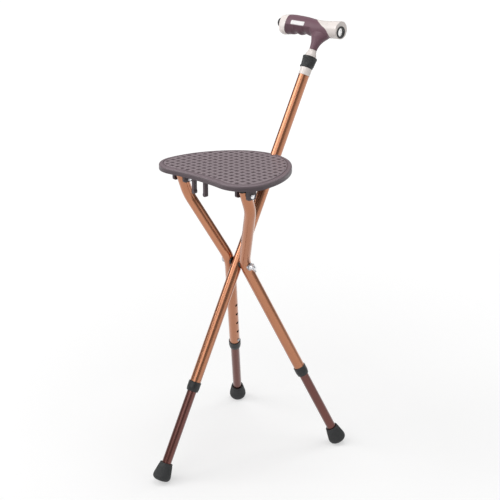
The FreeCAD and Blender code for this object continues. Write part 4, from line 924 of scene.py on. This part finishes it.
def shade_fingers(mesh):
    """Marks the grip's painted shade from 0 to 1: below the ledge, left of the stem and in front, where the ledge
    shades the finger hollows.
    """
    points = np.empty(len(mesh.vertices) * 3, np.float32)
    mesh.vertices.foreach_get("co", points)
    inverse = HANDLE.inverted()
    local = points.reshape(-1, 3) @ np.array(inverse.to_3x3()).T + np.array(inverse.translation)
    x, y, z = (local / MM).T
    # painted shade mask: below the ledge, left of the stem and in front
    ledge_shade = np.clip((-4.8 - z) / 2.4, 0, 1) * np.clip((-9 - x) / 8, 0, 1) * np.clip((4 - y) / 6, 0, 1)
    mark(mesh, "ledge_shade", ledge_shade)


def grip_rubber(look):
    """Soft rubber with a fine grain, with painted shade below the ledge over the finger hollows."""
    finish = Finish("grip_rubber", look.grip, 0.5, Sheen_Weight=0.3, Sheen_Roughness=0.4)
    ledge_shade = finish.node("ShaderNodeAttribute", attribute_name="ledge_shade")
    # painted shade below the ledge
    finish.tint(ledge_shade.outputs["Fac"], look.grip, look.fingers, 0.0, 1.0)
    finish.gloss(finish.noise(90, 3), 0.44, 0.56)
    return finish.bump(finish.noise(1600, 2), 0.25, 0.0002).material


class SEATSTICK_OT_plate(bpy.types.Operator):
    """Bare plate on the grip: a rounded rectangle laid on the crosspiece's front"""

    bl_idname = "seatstick.plate"
    bl_label = "Bare plate"

    def execute(self, context):
        middle_x, middle_z, half_length, half_height, corner = -45.0, -1.0, 16.0, 4.0, 1.6
        z = np.linspace(-half_height, half_height, 25)
        beyond = np.clip(np.abs(z) - (half_height - corner), 0, corner)
        reach = half_length - corner + np.sqrt(corner**2 - beyond**2)
        share = np.linspace(-1, 1, 65)
        x = middle_x + share[:, None] * reach
        z = np.repeat(z[None, :], len(share), 0) + middle_z
        rows = smooth_rows(CROSSPIECE, x.ravel())
        top, bottom, half, square = (rows[:, k].reshape(x.shape) for k in (1, 2, 3, 4))
        across = np.abs(z - (top + bottom) / 2) / ((top - bottom) / 2)
        skin = -half * (1 - across**square) ** (1 / square)
        edge = np.minimum((1 - np.abs(share[:, None])) * reach, half_height - np.abs(z - middle_z))
        proud, rounding, buried = 0.55, 0.8, 0.8
        crown = proud * np.sqrt(np.clip(edge / rounding, 0, 1))
        front = np.stack([x, skin - crown, z], -1)
        rear = np.stack([x, skin + buried, z], -1)
        shells = np.stack([front, rear])
        sheet = surface("front", carried(HANDLE, shells[0]))
        back = surface("back", carried(HANDLE, shells[1]))
        rim = np.concatenate([
            shells[:, :, 0], shells[:, -1, 1:], shells[:, -2::-1, -1], shells[:, 0, -2:0:-1],
        ], axis=1)
        wall = surface("wall", carried(HANDLE, rim), round_columns=True)
        mesh = closed(merged("bare_plate", [sheet, back, wall]), gap=2e-6)
        white = moulded("white_plate", linear(244, 243, 242), 0.25, grain=400, depth=0.03)
        placed("bare_plate", mesh, white, "stick", ["label_plate"])
        return {"FINISHED"}


# Stage

class SEATSTICK_OT_stage(bpy.types.Operator):
    """Pale floor, soft lights and the camera"""

    bl_idname = "seatstick.stage"
    bl_label = "Stage"

    def execute(self, context):
        look = context.scene.seatstick_stage
        self.floor(look)
        self.world(context, look)
        middle = Vector((0, 0, 0.4))
        # name, place, width and height, power
        lamps = (
            ("key", (-1.5, -1.8, 2.2), (1.8, 1.8), look.key),
            ("front", (0.5, -2.2, 1.7), (1.9, 1.7), look.front),
            ("top", (0.1, 0.2, 3.1), (1.6, 1.6), look.top),
            ("fill", (2.3, 0.7, 1.3), (1.8, 1.8), look.fill),
            ("back", (0.5, 2.0, 2.0), (1.2, 1.2), look.back),
        )
        for name, place, (wide, high), power in lamps:
            lamp = bpy.data.lights.new(name, "AREA")
            lamp.shape = "RECTANGLE"
            lamp.size = wide
            lamp.size_y = high
            lamp.energy = power
            holder = bpy.data.objects.new(name, lamp)
            holder.matrix_world = aimed(Vector(place), middle)
            context.scene.collection.objects.link(holder)
        self.camera(context)
        context.scene.view_settings.view_transform = "Standard"
        return {"FINISHED"}

    def floor(self, look):
        """Round floor, lit like any surface, with a glow of its own that only the eye and reflections see."""
        reach, sides = 16, 64
        angle = np.linspace(0, 2 * math.pi, sides, endpoint=False)
        radius = np.array([0, reach])[:, None]
        points = np.stack([radius * np.cos(angle), radius * np.sin(angle), np.zeros((2, sides))], -1)
        mesh = surface("floor", points, round_columns=True)
        floor = bpy.data.objects.new("floor", mesh)
        bpy.context.scene.collection.objects.link(floor)
        finish = Finish("floor", look.floor, 0.9)
        glow = finish.node("ShaderNodeEmission")
        finish.link(floor_glow(finish, look), glow.inputs["Strength"])
        both = finish.node("ShaderNodeAddShader")
        finish.link(finish.shader.outputs["BSDF"], both.inputs[0])
        finish.link(glow.outputs["Emission"], both.inputs[1])
        output = finish.tree.nodes["Material Output"]
        finish.link(both.outputs["Shader"], output.inputs["Surface"])
        mesh.materials.append(finish.material)

    def world(self, context, look):
        """Even light all round, white where the camera sees it."""
        world = bpy.data.worlds.new("studio")
        world.use_nodes = True
        context.scene.world = world
        tree = world.node_tree
        background = tree.nodes["Background"]
        background.inputs["Color"].default_value = (1, 1, 1, 1)
        path = tree.nodes.new("ShaderNodeLightPath")
        seen = add_rays(tree, path, "Is Transmission Ray")
        level = tree.nodes.new("ShaderNodeMapRange")
        level.inputs["To Min"].default_value = look.world
        level.inputs["To Max"].default_value = 1.0
        tree.links.new(seen, level.inputs["Value"])
        tree.links.new(level.outputs["Result"], background.inputs["Strength"])

    def camera(self, context):
        """Camera as fitted to the photograph by the feet, the seat's outline and the tubes."""
        camera = bpy.data.cameras.new("camera")
        camera.lens = 82.1
        camera.sensor_width = 36
        camera.shift_x = 0.0072
        camera.shift_y = 0.0024
        holder = bpy.data.objects.new("camera", camera)
        distance = 2.0663
        azimuth = math.radians(44.14)
        elevation = math.radians(19.87)
        focus = Vector((0, PIVOT.y + 0.0229, PIVOT.z + 0.0156))
        flat = math.cos(elevation)
        away = Vector((math.sin(azimuth) * flat, -math.cos(azimuth) * flat, math.sin(elevation)))
        holder.matrix_world = aimed(focus + away * distance, focus)
        context.scene.collection.objects.link(holder)
        context.scene.camera = holder


def add_rays(tree, path, other):
    """One where a ray comes from the camera or is of one other kind."""
    both = tree.nodes.new("ShaderNodeMath")
    both.operation = "ADD"
    both.use_clamp = True
    tree.links.new(path.outputs["Is Camera Ray"], both.inputs[0])
    tree.links.new(path.outputs[other], both.inputs[1])
    return both.outputs[0]


def floor_glow(finish, look):
    """Glow of the floor, only where it is seen, which grows with the distance from the stick."""
    apart = finish.node("ShaderNodeVectorMath", operation="LENGTH")
    finish.link(finish.place, apart.inputs[0])
    level = finish.node("ShaderNodeMapRange")
    level.inputs["From Min"].default_value = 0.4
    level.inputs["From Max"].default_value = 3.0
    level.inputs["To Min"].default_value = look.glow_near
    level.inputs["To Max"].default_value = look.glow_far
    finish.link(apart.outputs["Value"], level.inputs["Value"])
    seen = add_rays(finish.tree, finish.node("ShaderNodeLightPath"), "Is Glossy Ray")
    shown = finish.node("ShaderNodeMath", operation="MULTIPLY")
    finish.link(seen, shown.inputs[0])
    finish.link(level.outputs["Result"], shown.inputs[1])
    return shown.outputs[0]


def aimed(place, target):
    """Matrix of a lamp or camera at place that looks at target."""
    turn = (target - place).to_track_quat("-Z", "Y").to_matrix().to_4x4()
    turn.translation = place
    return turn


# Panel and registration

class SEATSTICK_PT_panel(bpy.types.Panel):
    """Lists the pieces of the walking stick seat"""

    bl_idname = "SEATSTICK_PT_panel"
    bl_label = "Walking stick seat"
    bl_space_type = "VIEW_3D"
    bl_region_type = "UI"
    bl_category = "Seat stick"

    def draw(self, context):
        for operator in OPERATORS:
            self.layout.operator(operator.bl_idname)
        for holder in SETTINGS:
            group = getattr(context.scene, holder)
            column = self.layout.column(heading=holder)
            for name in group.bl_rna.properties.keys():
                if name not in ("rna_type", "name"):
                    column.prop(group, name)


SETTINGS = {
    "seatstick_seat": SeatLook,
    "seatstick_tubes": TubeLook,
    "seatstick_rubber": RubberLook,
    "seatstick_handle": HandleLook,
    "seatstick_stage": StageLook,
}
OPERATORS = (
    SEATSTICK_OT_tubes,
    SEATSTICK_OT_hardware,
    SEATSTICK_OT_woven_field,
    SEATSTICK_OT_feet,
    SEATSTICK_OT_lock_collar,
    SEATSTICK_OT_wing_nut,
    SEATSTICK_OT_handle,
    SEATSTICK_OT_plate,
    SEATSTICK_OT_stage,
)


def register():
    for group in SETTINGS.values():
        bpy.utils.register_class(group)
    for holder, group in SETTINGS.items():
        setattr(bpy.types.Scene, holder, PointerProperty(type=group))
    for operator in OPERATORS:
        bpy.utils.register_class(operator)
    bpy.utils.register_class(SEATSTICK_PT_panel)


def unregister():
    bpy.utils.unregister_class(SEATSTICK_PT_panel)
    for operator in reversed(OPERATORS):
        bpy.utils.unregister_class(operator)
    for holder, group in reversed(SETTINGS.items()):
        delattr(bpy.types.Scene, holder)
        bpy.utils.unregister_class(group)


def main():
    """Registers the settings and operators, then builds every piece in order."""
    register()
    for operator in OPERATORS:
        family, name = operator.bl_idname.split(".")
        getattr(getattr(bpy.ops, family), name)()


if __name__ == "__main__":
    main()
